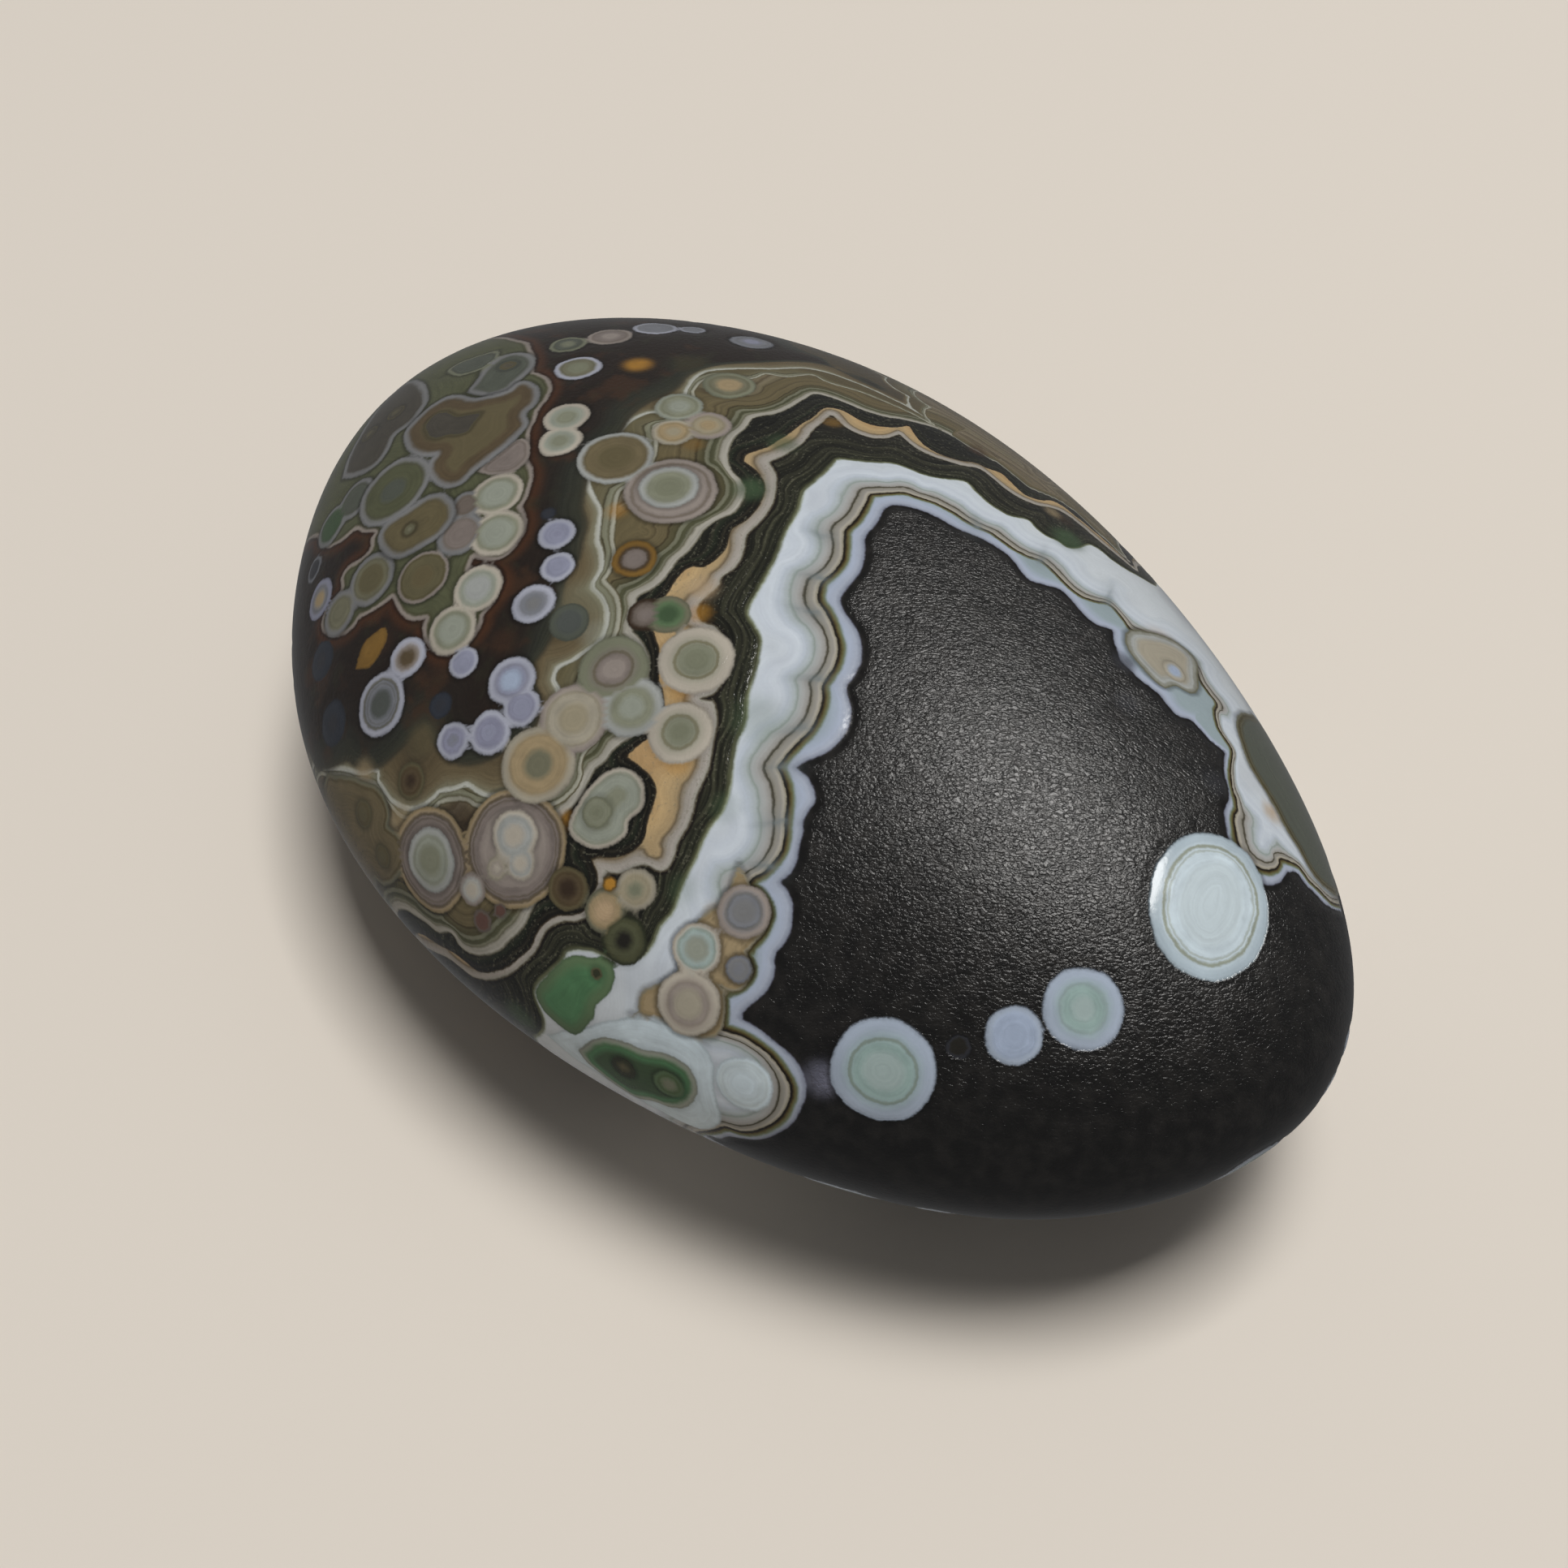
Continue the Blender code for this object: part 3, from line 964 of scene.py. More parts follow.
# Level, pixel x, pixel y, radius, rim width, rim, ring, body, radius of the core, core, edge.
EYES = [
    (1, 1335, 1243, 1.95, 0.72, "sky", 0.2, "haze", 0.55, "mint", 0.7),
    (1, 1250, 1276, 1.38, 0.30, "sky", 0.0, "frost", 0.42, "frost", 0.7),
    (1, 1088, 1320, 2.55, 0.88, "sky", 0.7, "haze", 0.95, "mint", 0.7),
    (1, 1181, 1291, 0.60, 0.15, "dusk", 0.0, "soot", 0.00, "soot", 0.5),
    (1, 916, 1337, 1.50, 0.20, "ice", 0.1, "white", 0.69, "ice", 0.15),
    (1, 916, 1124, 1.30, 0.36, "rose", 0.5, "steel", 0.60, "ash", 0.7),
    (1, 910, 1193, 0.63, 0.14, "steel", 0.0, "ash", 0.25, "steel", 0.9),
    (1, 859, 1169, 1.22, 0.24, "cream", 0.4, "mint", 0.60, "celadon", 0.8),
    (1, 848, 1237, 1.63, 0.45, "cream", 0.2, "rose", 0.74, "linen", 0.8),
    (2, 735, 1199, 0.31, 0.10, "olive", 0.0, "moss", 0.09, "moss", 0.3),
    (2, 825, 1337, 0.86, 0.18, "fern", 0.6, "fern", 0.39, "sage", 0.6),
    (2, 768, 1315, 0.71, 0.20, "moss", 0.0, "moss", 0.26, "olive", 0.5),
    (1, 758, 563, 2.10, 0.34, "shell", 0.3, "fudge", 0.95, "bronze", 0.4),
    (1, 826, 604, 2.50, 0.34, "rose", 0.5, "clay", 1.95, "rose", 0.7),
    (2, 824, 600, 1.62, 0.42, "shell", 0.1, "jade", 0.70, "sage", 0.5),
    (1, 782, 688, 1.20, 0.38, "honey", 0.8, "umber", 0.66, "clay", 0.6),
    (1, 858, 813, 1.95, 0.80, "cream", 0.8, "jade", 0.60, "sage", 0.3),
    (1, 838, 902, 1.65, 0.70, "cream", 0.7, "jade", 0.50, "sage", 0.2),
    (1, 756, 824, 1.85, 0.78, "sage", 0.7, "clay", 0.60, "rose", 0.5),
    (1, 778, 871, 1.65, 0.50, "shell", 0.1, "jade", 0.60, "celadon", 0.5),
    (1, 706, 886, 1.88, 0.36, "rose", 0.3, "linen", 0.80, "sand", 0.4),
    (1, 663, 942, 2.05, 0.45, "linen", 0.2, "tan", 0.75, "khaki", 0.4),
    (1, 823, 757, 1.15, 0.36, "khaki", 0.0, "fern", 0.50, "forest", 0.1),
    (1, 796, 757, 1.00, 0.30, "umber", 0.0, "taupe", 0.35, "clay", 0.1),
    (1, 701, 766, 1.10, 0.40, "pewter", 0.0, "slate", 0.55, "slate", 0.0),
    (2, 735, 1001, 0.79, 0.20, "sage", 0.0, "jade", 0.35, "sage", 0.3),
    (1, 700, 1095, 1.09, 0.25, "bronze", 0.4, "brown", 0.44, "umber", 0.6),
    (2, 752, 1089, 0.36, 0.10, "honey", 0.0, "amber", 0.17, "amber", 0.3),
    (1, 783, 1096, 1.05, 0.24, "linen", 0.0, "sand", 0.40, "sage", 0.4),
    (1, 745, 1123, 1.10, 0.24, "khaki", 0.0, "tan", 0.50, "peach", 0.5),
    (1, 769, 1159, 1.25, 0.20, "moss", 0.3, "peat", 0.50, "soot", 0.2),
    (0, 632, 1045, 3.00, 0.26, "tan", 1.0, "clay", 1.95, "rose", 0.8),
    (1, 633, 1029, 1.32, 0.26, "cream", 0.1, "shell", 0.58, "cream", 0.5),
    (1, 641, 1064, 0.85, 0.20, "cream", 0.0, "shell", 0.40, "cream", 0.3),
    (1, 612, 1070, 0.62, 0.24, "linen", 0.0, "rose", 0.25, "cream", 0.1),
    (1, 581, 1096, 0.85, 0.24, "rose", 0.0, "shell", 0.40, "cream", 0.3),
    (1, 594, 1135, 0.64, 0.16, "taupe", 0.0, "russet", 0.30, "russet", 0.3),
    (1, 616, 1123, 0.39, 0.10, "taupe", 0.0, "russet", 0.18, "russet", 0.3),
    (0, 530, 1060, 2.70, 0.26, "tan", 0.9, "clay", 1.00, "khaki", 0.8),
    (1, 530, 1060, 1.68, 0.40, "shell", 0.3, "celadon", 0.80, "jade", 0.5),
    (1, 447, 1003, 0.84, 0.20, "olive", 0.3, "bronze", 0.38, "olive", 0.3),
    (1, 471, 1055, 0.75, 0.20, "olive", 0.3, "bronze", 0.34, "olive", 0.3),
    (1, 505, 962, 1.01, 0.24, "olive", 0.4, "brown", 0.37, "umber", 0.3),
    (1, 698, 514, 1.32, 0.34, "cream", 0.0, "celadon", 0.60, "jade", 0.6),
    (1, 690, 543, 1.25, 0.34, "cream", 0.0, "celadon", 0.55, "jade", 0.6),
    (1, 712, 453, 1.38, 0.30, "pearl", 0.4, "khaki", 0.61, "sage", 0.6),
    (1, 676, 632, 0.45, 0.12, "dusk", 0.0, "tarn", 0.19, "dusk", 0.1),
    (1, 686, 658, 1.05, 0.26, "pearl", 0.0, "lilac", 0.22, "thistle", 0.8),
    (1, 687, 698, 0.94, 0.26, "pearl", 0.0, "lilac", 0.28, "lilac", 0.8),
    (1, 657, 743, 1.17, 0.42, "pearl", 0.1, "steel", 0.37, "ash", 0.8),
    (1, 571, 817, 0.84, 0.20, "pearl", 0.0, "lilac", 0.28, "lilac", 0.7),
    (1, 630, 838, 1.30, 0.36, "pearl", 0.2, "lilac", 0.54, "frost", 0.7),
    (1, 642, 872, 1.03, 0.24, "pearl", 0.1, "thistle", 0.54, "lilac", 0.7),
    (1, 603, 902, 1.17, 0.30, "pearl", 0.1, "thistle", 0.32, "lilac", 0.7),
    (1, 558, 912, 1.02, 0.28, "pearl", 0.1, "thistle", 0.27, "steel", 0.7),
    (1, 502, 810, 1.19, 0.42, "pearl", 0.3, "rose", 0.54, "brown", 0.6),
    (1, 469, 868, 1.76, 0.36, "pearl", 0.9, "steel", 0.79, "slate", 0.7),
    (1, 394, 738, 1.24, 0.36, "lilac", 0.3, "steel", 0.50, "tan", 0.6),
    (1, 387, 701, 0.81, 0.20, "steel", 0.0, "dusk", 0.30, "dusk", 0.3),
    (1, 396, 814, 1.17, 0.30, "tarn", 0.0, "tarn", 0.49, "dusk", 0.0),
    (1, 410, 891, 1.29, 0.30, "tarn", 0.0, "tarn", 0.48, "dusk", 0.0),
    (1, 543, 869, 0.73, 0.25, "tarn", 0.0, "tarn", 0.27, "dusk", 0.0),
    (1, 457, 713, 1.70, 0.39, "ash", 0.5, "khaki", 0.97, "olive", 0.8),
    (1, 520, 710, 1.66, 0.20, "rose", 0.4, "olive", 0.66, "bronze", 0.8),
    (1, 418, 755, 1.41, 0.39, "ash", 0.3, "khaki", 0.49, "khaki", 0.7),
    (1, 588, 725, 1.45, 0.32, "cream", 0.1, "celadon", 0.75, "shell", 0.6),
    (1, 557, 775, 1.45, 0.32, "cream", 0.1, "jade", 0.80, "celadon", 0.6),
    (1, 566, 658, 1.44, 0.39, "ash", 0.3, "clay", 0.48, "clay", 0.7),
    (1, 574, 622, 0.99, 0.31, "ash", 0.3, "taupe", 0.29, "taupe", 0.7),
    (1, 408, 648, 1.40, 0.35, "ash", 0.3, "forest", 0.40, "forest", 0.7),
    (3, 505, 652, 0.43, 0.10, "olive", 0.5, "khaki", 0.17, "khaki", 0.7),
    (2, 484, 604, 2.48, 0.45, "ash", 0.5, "peat", 0.84, "pewter", 0.7),
    (1, 438, 614, 1.47, 0.35, "ash", 0.4, "pewter", 0.50, "pewter", 0.7),
    (2, 488, 508, 0.64, 0.12, "olive", 0.4, "bark", 0.26, "olive", 0.5),
    (2, 456, 534, 0.65, 0.12, "olive", 0.4, "bark", 0.26, "olive", 0.5),
    (2, 626, 450, 0.62, 0.12, "pewter", 0.4, "olive", 0.26, "bark", 0.5),
    (1, 612, 608, 1.55, 0.32, "cream", 0.1, "jade", 0.95, "celadon", 0.4),
    (1, 612, 656, 1.55, 0.32, "cream", 0.1, "jade", 0.95, "celadon", 0.4),
    (1, 807, 404, 1.32, 0.25, "pearl", 0.2, "steel", 0.53, "steel", 0.6),
    (1, 854, 406, 0.79, 0.16, "pearl", 0.0, "steel", 0.32, "steel", 0.5),
    (1, 926, 421, 1.26, 0.25, "steel", 0.2, "steel", 0.52, "lilac", 0.9),
    (1, 752, 414, 1.36, 0.25, "rose", 0.3, "clay", 0.52, "rose", 0.6),
    (1, 700, 424, 1.14, 0.22, "sage", 0.3, "pewter", 0.42, "sage", 0.6),
    (1, 898, 474, 1.50, 0.34, "sage", 0.3, "khaki", 0.70, "tan", 0.3),
    (1, 830, 532, 1.20, 0.30, "linen", 0.3, "tan", 0.40, "sand", 0.3),
    (1, 872, 524, 1.30, 0.36, "rose", 0.3, "sand", 0.50, "tan", 0.3),
    (1, 836, 501, 1.33, 0.25, "celadon", 0.2, "jade", 0.59, "celadon", 0.4),
    (1, 1447, 826, 0.75, 0.30, "linen", 0.1, "shell", 0.36, "frost", 0.1),
]

# Pixel x, pixel y, radius, tone, strength: soft stains of iron and clay, and green shadows.
STAINS = [
    (932, 885, 1.3, "fern", 0.30), (894, 995, 0.8, "fern", 0.25), (842, 1096, 0.8, "fern", 0.25),
    (1316, 664, 1.0, "forest", 0.9), (925, 602, 0.9, "forest", 0.8), (965, 546, 0.8, "forest", 0.7),
    (1205, 555, 0.6, "rust", 0.8), (1311, 640, 0.6, "umber", 0.8), (1297, 631, 0.5, "tan", 0.6),
    (760, 629, 0.6, "amber", 0.5), (854, 547, 0.6, "honey", 0.7), (862, 755, 0.6, "amber", 0.6),
    (866, 724, 0.8, "peach", 0.6), (836, 853, 0.6, "amber", 0.5), (836, 940, 0.7, "amber", 0.5),
    (698, 1011, 0.5, "amber", 0.8), (633, 1108, 0.6, "honey", 0.7), (786, 449, 0.8, "amber", 0.9),
    (588, 689, 0.7, "rust", 0.8), (570, 606, 0.5, "olive", 0.7), (449, 953, 0.8, "tan", 0.7),
    (494, 1011, 0.9, "tan", 0.7), (566, 1008, 1.0, "umber", 0.9), (802, 1233, 0.6, "peach", 0.9),
    (882, 1126, 0.6, "tan", 0.8), (641, 1252, 1.0, "forest", 0.8), (520, 912, 0.9, "bronze", 0.7),
    (1567, 1002, 0.6, "peach", 0.8), (1435, 795, 1.3, "peach", 0.6), (1026, 520, 0.5, "honey", 0.9),
    (558, 480, 0.9, "wine", 0.8), (716, 742, 1.4, "sage", 0.4), (1385, 815, 0.7, "dusk", 0.8),
    (1012, 1330, 0.9, "thistle", 0.5), (1390, 865, 0.7, "dusk", 0.5), (1497, 965, 0.8, "dusk", 0.5),
    (850, 447, 1.2, "moss", 0.7), (730, 840, 0.5, "amber", 0.7), (733, 780, 0.8, "celadon", 0.4),
    (620, 790, 0.8, "rust", 0.5), (540, 830, 0.8, "rust", 0.4), (470, 790, 0.8, "rust", 0.4),
]


def tone(name):
    """A tone as a linear colour, from its name or from its screen values."""
    shown = np.array(TONES[name] if isinstance(name, str) else name) / 255
    return np.where(shown <= 0.04045, shown / 12.92, ((shown + 0.055) / 1.055) ** 2.4)


LEVELS = 4
OUTLINE_MARGIN = 2.0
HIDDEN_STEPS = 10

# The depth kept where a level has no eye near.
OPEN = -1.0
level_depth = np.full((LEVELS, count), OPEN)
level_rim = np.zeros((LEVELS, count, 4))
level_body = np.zeros((LEVELS, count, 4))
level_core = np.zeros((LEVELS, count, 4))
level_ring = np.zeros((LEVELS, count))


def lay(level, depth, rim_width, rim, ring, body, core_depth, core, edge):
    """Lays one eye into its level, where it reaches deeper than the eyes laid before it."""
    over = depth > level_depth[level]
    level_depth[level][over] = depth[over]
    level_rim[level][over] = (*tone(rim), edge)
    level_body[level][over] = (*tone(body), rim_width)
    level_core[level][over] = (*tone(core), core_depth)
    level_ring[level][over] = ring


def lay_round(level, centre, radius, rim_width, rim, ring, body, core_radius, core, edge):
    depth = radius - np.linalg.norm(surface - centre, axis=1)
    core_depth = radius - core_radius if core_radius else radius + 1
    lay(level, depth, rim_width, rim, ring, body, core_depth, core, edge)


for level, rim_width, rim, ring, body, core_depth, core, edge, seen, hidden in OUTLINES:
    if hidden:
        loop = [np.array(on_stone(x, y)) for x, y in smooth_line(seen, closed=False)]
        bends = [loop[-1], *(hidden_place(*stop) for stop in hidden), loop[0]]
        for start, end in zip(bends, bends[1:]):
            for share in np.arange(HIDDEN_STEPS) / HIDDEN_STEPS:
                spot = Vector(start + (end - start) * share)
                loop.append(np.array(skin.find_nearest(spot)[0]))
    else:
        loop = [np.array(on_stone(x, y)) for x, y in smooth_line(seen, closed=True)]
    depth = signed_distance(np.array(loop), OUTLINE_MARGIN)
    lay(level, depth, rim_width, rim, ring, body, core_depth, core, edge)
for level, x, y, *look in EYES:
    lay_round(level, np.array(on_stone(x, y)), *look)

# The hidden side's eyes are strewn in the same kinds: a kind is the front that its zone starts
# inside of, the least depth, the next front and how near it may come, how many eyes, how closely
# they may crowd, and their looks: radii, rim width, rim, ring, body, core's share, core, edge.
STREW_SEED = 11
STREW_TRIES = 60
SMALLNESS = 1.6
CLEAR_OF_POCKETS = 0.6
GRAZING = 9.0
STREW_KINDS = [
    (None, 0, "shore", 2.6, 13, 1.15, [
        (1.2, 2.6, 0.70, "sky", 0.5, "haze", 0.45, "mint", 0.7),
        (0.7, 1.5, 0.35, "sky", 0.0, "frost", 0.40, "frost", 0.7),
    ]),
    ("inner line", 0.6, "white contour", 0.5, 4, 1.2, [
        (0.6, 1.1, 0.20, "cream", 0.4, "celadon", 0.45, "rose", 0.7),
    ]),
    ("white contour", 0.5, "cream line", 0.5, 5, 1.2, [
        (0.5, 1.0, 0.20, "moss", 0.3, "fern", 0.45, "emerald", 0.3),
    ]),
    ("grey line", 1.4, "outer double line", 0.9, 14, 0.98, [
        (0.9, 2.0, 0.26, "cream", 0.4, "bronze", 0.50, "brown", 0.5),
        (0.9, 1.8, 0.40, "rose", 0.5, "jade", 0.55, "sage", 0.5),
        (0.6, 1.2, 0.30, "olive", 0.5, "clay", 0.50, "sand", 0.5),
    ]),
    ("inner double line", 0.8, "matrix", 0.8, 10, 1.0, [
        (0.6, 1.3, 0.28, "sand", 0.4, "khaki", 0.50, "tan", 0.4),
        (0.5, 1.0, 0.20, "olive", 0.3, "slate", 0.50, "slate", 0.2),
    ]),
    ("matrix", 1.2, None, 0, 46, 0.94, [
        (0.6, 1.3, 0.28, "pearl", 0.1, "lilac", 0.35, "steel", 0.8),
        (0.5, 1.2, 0.26, "pearl", 0.0, "thistle", 0.50, "frost", 0.8),
        (1.0, 1.9, 0.42, "ash", 0.4, "khaki", 0.50, "olive", 0.8),
        (0.9, 1.8, 0.30, "rose", 0.3, "jade", 0.60, "celadon", 0.7),
        (0.6, 1.4, 0.30, "tarn", 0.0, "tarn", 0.50, "dusk", 0.0),
    ]),
]
strewing = np.random.default_rng(STREW_SEED)
away_from_camera = ((surface - np.array(CAMERA_PLACE)) * normals).sum(1) > -GRAZING
taken = [(np.array(on_stone(x, y)), radius) for _, x, y, radius, *_ in EYES]
for inner, least, outer, gap, wanted, crowding, looks in STREW_KINDS:
    fits = away_from_camera & (level_depth[0] < -CLEAR_OF_POCKETS)
    if inner is not None:
        fits &= front_depth[inner] > least
    if outer is not None:
        fits &= front_depth[outer] < -gap
    spots = np.flatnonzero(fits)
    if len(spots) == 0:
        continue
    placed = 0
    for _ in range(wanted * STREW_TRIES):
        centre = surface[strewing.choice(spots)]
        low, high, rim_width, rim, ring, body, share, core, edge = looks[
            strewing.integers(len(looks))
        ]
        radius = low + (high - low) * strewing.random() ** SMALLNESS
        room_left = all(
            np.linalg.norm(centre - other) > (radius + size) * crowding for other, size in taken
        )
        if not room_left:
            continue
        taken.append((centre, radius))
        lay_round(1, centre, radius, rim_width, rim, ring, body, radius * share, core, edge)
        placed += 1
        if placed == wanted:
            break

for level in range(LEVELS):
    keep_field(f"eye depth {level}", np.maximum(level_depth[level], OPEN))
    keep_field(f"eye ring {level}", level_ring[level])
    keep_tint(f"eye rim {level}", level_rim[level])
    keep_tint(f"eye body {level}", level_body[level])
    keep_tint(f"eye core {level}", level_core[level])

# The white layer grew as lobes too: a crease starts at a cusp and fades out across the layer.
CREASES = [
    (1016, 662, 982, 646), (1012, 712, 972, 704), (1006, 756, 956, 742), (1012, 836, 960, 834),
    (992, 896, 946, 906), (968, 944, 932, 948), (964, 1012, 914, 1020), (950, 1068, 900, 1062),
    (1205, 650, 1196, 624), (1282, 692, 1290, 668), (1365, 742, 1372, 712),
]
CREASE_WIDTH = 0.16
CREASE_STRENGTH = 0.60
SHADE_WIDTH = 0.70
SHADE_STRENGTH = 0.35

stain = np.zeros((count, 4))


def soak(share, name):
    """Lays a tone over the stains so far, by each vertex's own share."""
    stain[:, :3] += (tone(name) - stain[:, :3]) * share[:, None]
    stain[:, 3] += share - stain[:, 3] * share


for x, y, radius, name, strength in STAINS:
    away = np.linalg.norm(surface - np.array(on_stone(x, y)), axis=1) / radius
    soak(strength * np.exp(-(away**4)), name)
for start_x, start_y, end_x, end_y in CREASES:
    start = np.array(on_stone(start_x, start_y))
    run = np.array(on_stone(end_x, end_y)) - start
    along = np.clip((surface - start) @ run / (run @ run), 0, 1)
    away = np.linalg.norm(surface - start - along[:, None] * run, axis=1)
    line = CREASE_STRENGTH * np.exp(-((away / CREASE_WIDTH) ** 2))
    around = SHADE_STRENGTH * np.exp(-((away / SHADE_WIDTH) ** 2))
    soak((1 - along) * (line + around), "mist")
stain[:, :3] /= np.maximum(stain[:, 3:], 1e-6)
keep_tint("stain", stain)


# The stone's skin follows the markings a little: eyes and layers of different hardness polish at
# different rates, so their edges are shallow grooves, and the glassy basin is gently dented.
GROOVE_DEPTH = 0.05
GROOVE_WIDTH = 0.22
BASIN_EYE_GROOVE = 1.4
OTHER_EYE_GROOVE = 0.6
LAYER_GROOVE = 0.4
EYE_GROOVE_OUT = 0.12
SHORE_GROOVE_OUT = 0.10
DENTS = [
    (1240, 735, 2.2, -0.10), (1390, 865, 1.5, -0.10), (1497, 965, 1.4, 0.08),
    (1181, 1291, 1.0, -0.12), (1335, 1330, 2.6, 0.06), (1090, 760, 2.0, -0.05),
    (1150, 900, 3.0, 0.05), (1030, 1190, 1.6, -0.06), (1440, 1240, 2.4, -0.06),
]
relief = np.zeros(count)
in_basin = front_depth["shore"] < 0
eye_edge = np.exp(-(((level_depth[1] + EYE_GROOVE_OUT) / GROOVE_WIDTH) ** 2))
relief -= np.where(in_basin, BASIN_EYE_GROOVE, OTHER_EYE_GROOVE) * GROOVE_DEPTH * eye_edge
shore_edge = np.exp(-(((front_depth["shore"] + SHORE_GROOVE_OUT) / GROOVE_WIDTH) ** 2))
relief -= GROOVE_DEPTH * shore_edge
for name in ("inner line", "white contour", "cream line", "dark band", "grey line"):
    relief -= LAYER_GROOVE * GROOVE_DEPTH * np.exp(-((front_depth[name] / GROOVE_WIDTH) ** 2))
for x, y, radius, height in DENTS:
    away = np.linalg.norm(surface - np.array(on_stone(x, y)), axis=1) / radius
    relief += height * np.exp(-(away**2))
carved = (surface + normals * relief[:, None]) * MM
carved[:, 2] = np.maximum(carved[:, 2], 0)
resting = surface[:, 2] < 1e-6
carved[resting, 2] = 0
stone_mesh.vertices.foreach_set("co", carved.ravel())

# Six sheets of cells, each laid flat at about the same scale, for whoever repaints the stone.
SHEET_SIDE = 92.0
SHEET_FILL = 0.985
SHEETS = {
    (2, 1): ((0, 1), (52, 37), (0, 0)),
    (2, -1): ((0, 1), (52, 37), (0, 37)),
    (1, 1): ((2, 0), (20, 52), (52, 0)),
    (1, -1): ((2, 0), (20, 52), (72, 0)),
    (0, 1): ((2, 1), (20, 37), (52, 52)),
    (0, -1): ((2, 1), (20, 37), (72, 52)),
}
cells = np.empty(count * 3)
stone_mesh.attributes["cell"].data.foreach_get("vector", cells)
cells = cells.reshape(-1, 3)
corners = np.empty(len(stone_mesh.loops), int)
stone_mesh.loops.foreach_get("vertex_index", corners)
quads = corners.reshape(-1, 4)
quad_middle = cells[quads].mean(1)
facing = np.abs(quad_middle).argmax(1)
chart = np.zeros((len(quads), 4, 2))
for (axis, sign), (axes, size, corner) in SHEETS.items():
    mine = (facing == axis) & (np.sign(quad_middle[:, axis]) == sign)
    spread = (cells[quads[mine]][:, :, list(axes)] * SHEET_FILL + 1) / 2
    chart[mine] = (np.array(corner) + spread * np.array(size)) / SHEET_SIDE
for layer in list(stone_mesh.uv_layers):
    stone_mesh.uv_layers.remove(layer)
sheet = stone_mesh.uv_layers.new(name="OFBake")
sheet.data.foreach_set("uv", chart.ravel())
stone_mesh.attributes.remove(stone_mesh.attributes["cell"])


# The finish. Polished chalcedony shows its colours through a hard, clear gloss. The tones are laid
# in the order that the stone grew: basin, layers, stains, eyes. The basin's wrinkles and the grain
# of the dark layers are too fine for the mesh's cells, so they are relief in the polish.
DRIFT_WAVER = 0.16
TREMBLE_WAVER = 0.09
EYE_WAVER = 0.36
FUZZ = 0.10
MEANDER = 3.0
MEANDER_DEPTHS = (1.5, 5.0)
FAR_ARM = (5.0, 12.0)
FAR_ARM_SQUEEZE = 0.7
STREAK_RATE = 0.45
LAYER_LINES = 0.13
EYE_LINES = 0.16
STAIN_LEAST = 0.55
STAIN_MOTTLE = 0.7
RING_SHADE = (0.46, 0.42, 0.26)
WRINKLE_TURN = 0.81
WRINKLE_STRETCH = (1.0, 0.65, 1.0)
WRINKLE_SHAKE = 0.22
PLATE_SIZE = 0.40
FOLD_SIZE = 0.42
PLATE_HEIGHT = 0.012
FOLD_HEIGHT = 0.014
RIPPLE_HEIGHT = 0.022
SWELL_HEIGHT = 0.045
CROWN = (14.5, 18.0)
CROWN_LEAST = 0.12
GRAIN_HEIGHT = 0.005
DARK_GRAIN_HEIGHT = 0.024
DARK_LINE_HEIGHT = 0.02
POLISH = 0.13
BASIN_ROUGHNESS = 0.16
MOTTLED_ROUGHNESS = 0.05
AGATE_IOR = 1.54

agate.use_nodes = True
paint = agate.node_tree
paint.nodes.clear()
object_place = add(paint, "ShaderNodeTexCoord", {}).pick("Object")
place_parts = add(paint, "ShaderNodeSeparateXYZ", {}, object_place)
lengthwise = place_parts.pick("X") * (STREAK_RATE / MM)
crosswise = (place_parts.pick("Y") + place_parts.pick("Z") * 0.7) * (STREAK_RATE / MM)


def field(name):
    return add(paint, "ShaderNodeAttribute", {"attribute_name": name}).pick("Fac")


def tint(name):
    """A kept colour and the number kept with it."""
    colour = add(paint, "ShaderNodeAttribute", {"attribute_name": name})
    return colour, colour.pick("Alpha")


def noise(place, size, detail):
    """Noise whose features are about size millimetres across, from 0 to 1."""
    scale = 1 / (size * MM)
    return add(paint, "ShaderNodeTexNoise", {}, Vector=place, Scale=scale, Detail=detail)


def cloud(size, detail=2.0):
    return noise(object_place, size, detail)


def slope(value, start, end):
    """0 at start and 1 at end, smoothly."""
    limits = {"From Min": start, "From Max": end}
    return add(
        paint, "ShaderNodeMapRange", {"interpolation_type": "SMOOTHSTEP"}, Value=value, **limits
    )


def over(below, above, share):
    return add(paint, "ShaderNodeMix", {"data_type": "RGBA"}, Factor=share, A=below, B=above)


def shade(colour, strength):
    """A colour made darker or lighter, evenly or by its own share of each primary."""
    if isinstance(strength, tuple):
        return vector_math(paint, "MULTIPLY", colour, strength)
    return vector_math(paint, "SCALE", colour, Scale=strength)


def solid(name):
    return (*tone(name), 1.0)


def layers(distance, stops):
    """The colours met going in from a front: each stop is millimetres and a colour."""
    start, end = stops[0][0], stops[-1][0]
    places = [((at - start) / (end - start), tone(colour)) for at, colour in stops]
    return add(paint, "ShaderNodeValToRGB", {"stops": places}, (distance - start) / (end - start))


def streaks(distance, spacing):
    """Fine growth lines, light and dark, that run along a front: noise drawn out along it."""
    steps = distance / spacing
    spot = add(paint, "ShaderNodeCombineXYZ", {}, steps, lengthwise, crosswise)
    return add(paint, "ShaderNodeTexNoise", {}, Vector=spot, Scale=1.0, Detail=1.0)


drift = cloud(1.8)
tremble = cloud(0.40)
mottle = cloud(0.9, 4.0)
breath = cloud(2.7, 0.0)
grain = cloud(0.16)
waver = (drift - 0.5) * DRIFT_WAVER + (tremble - 0.5) * TREMBLE_WAVER
fuzz = (grain - 0.5) * FUZZ

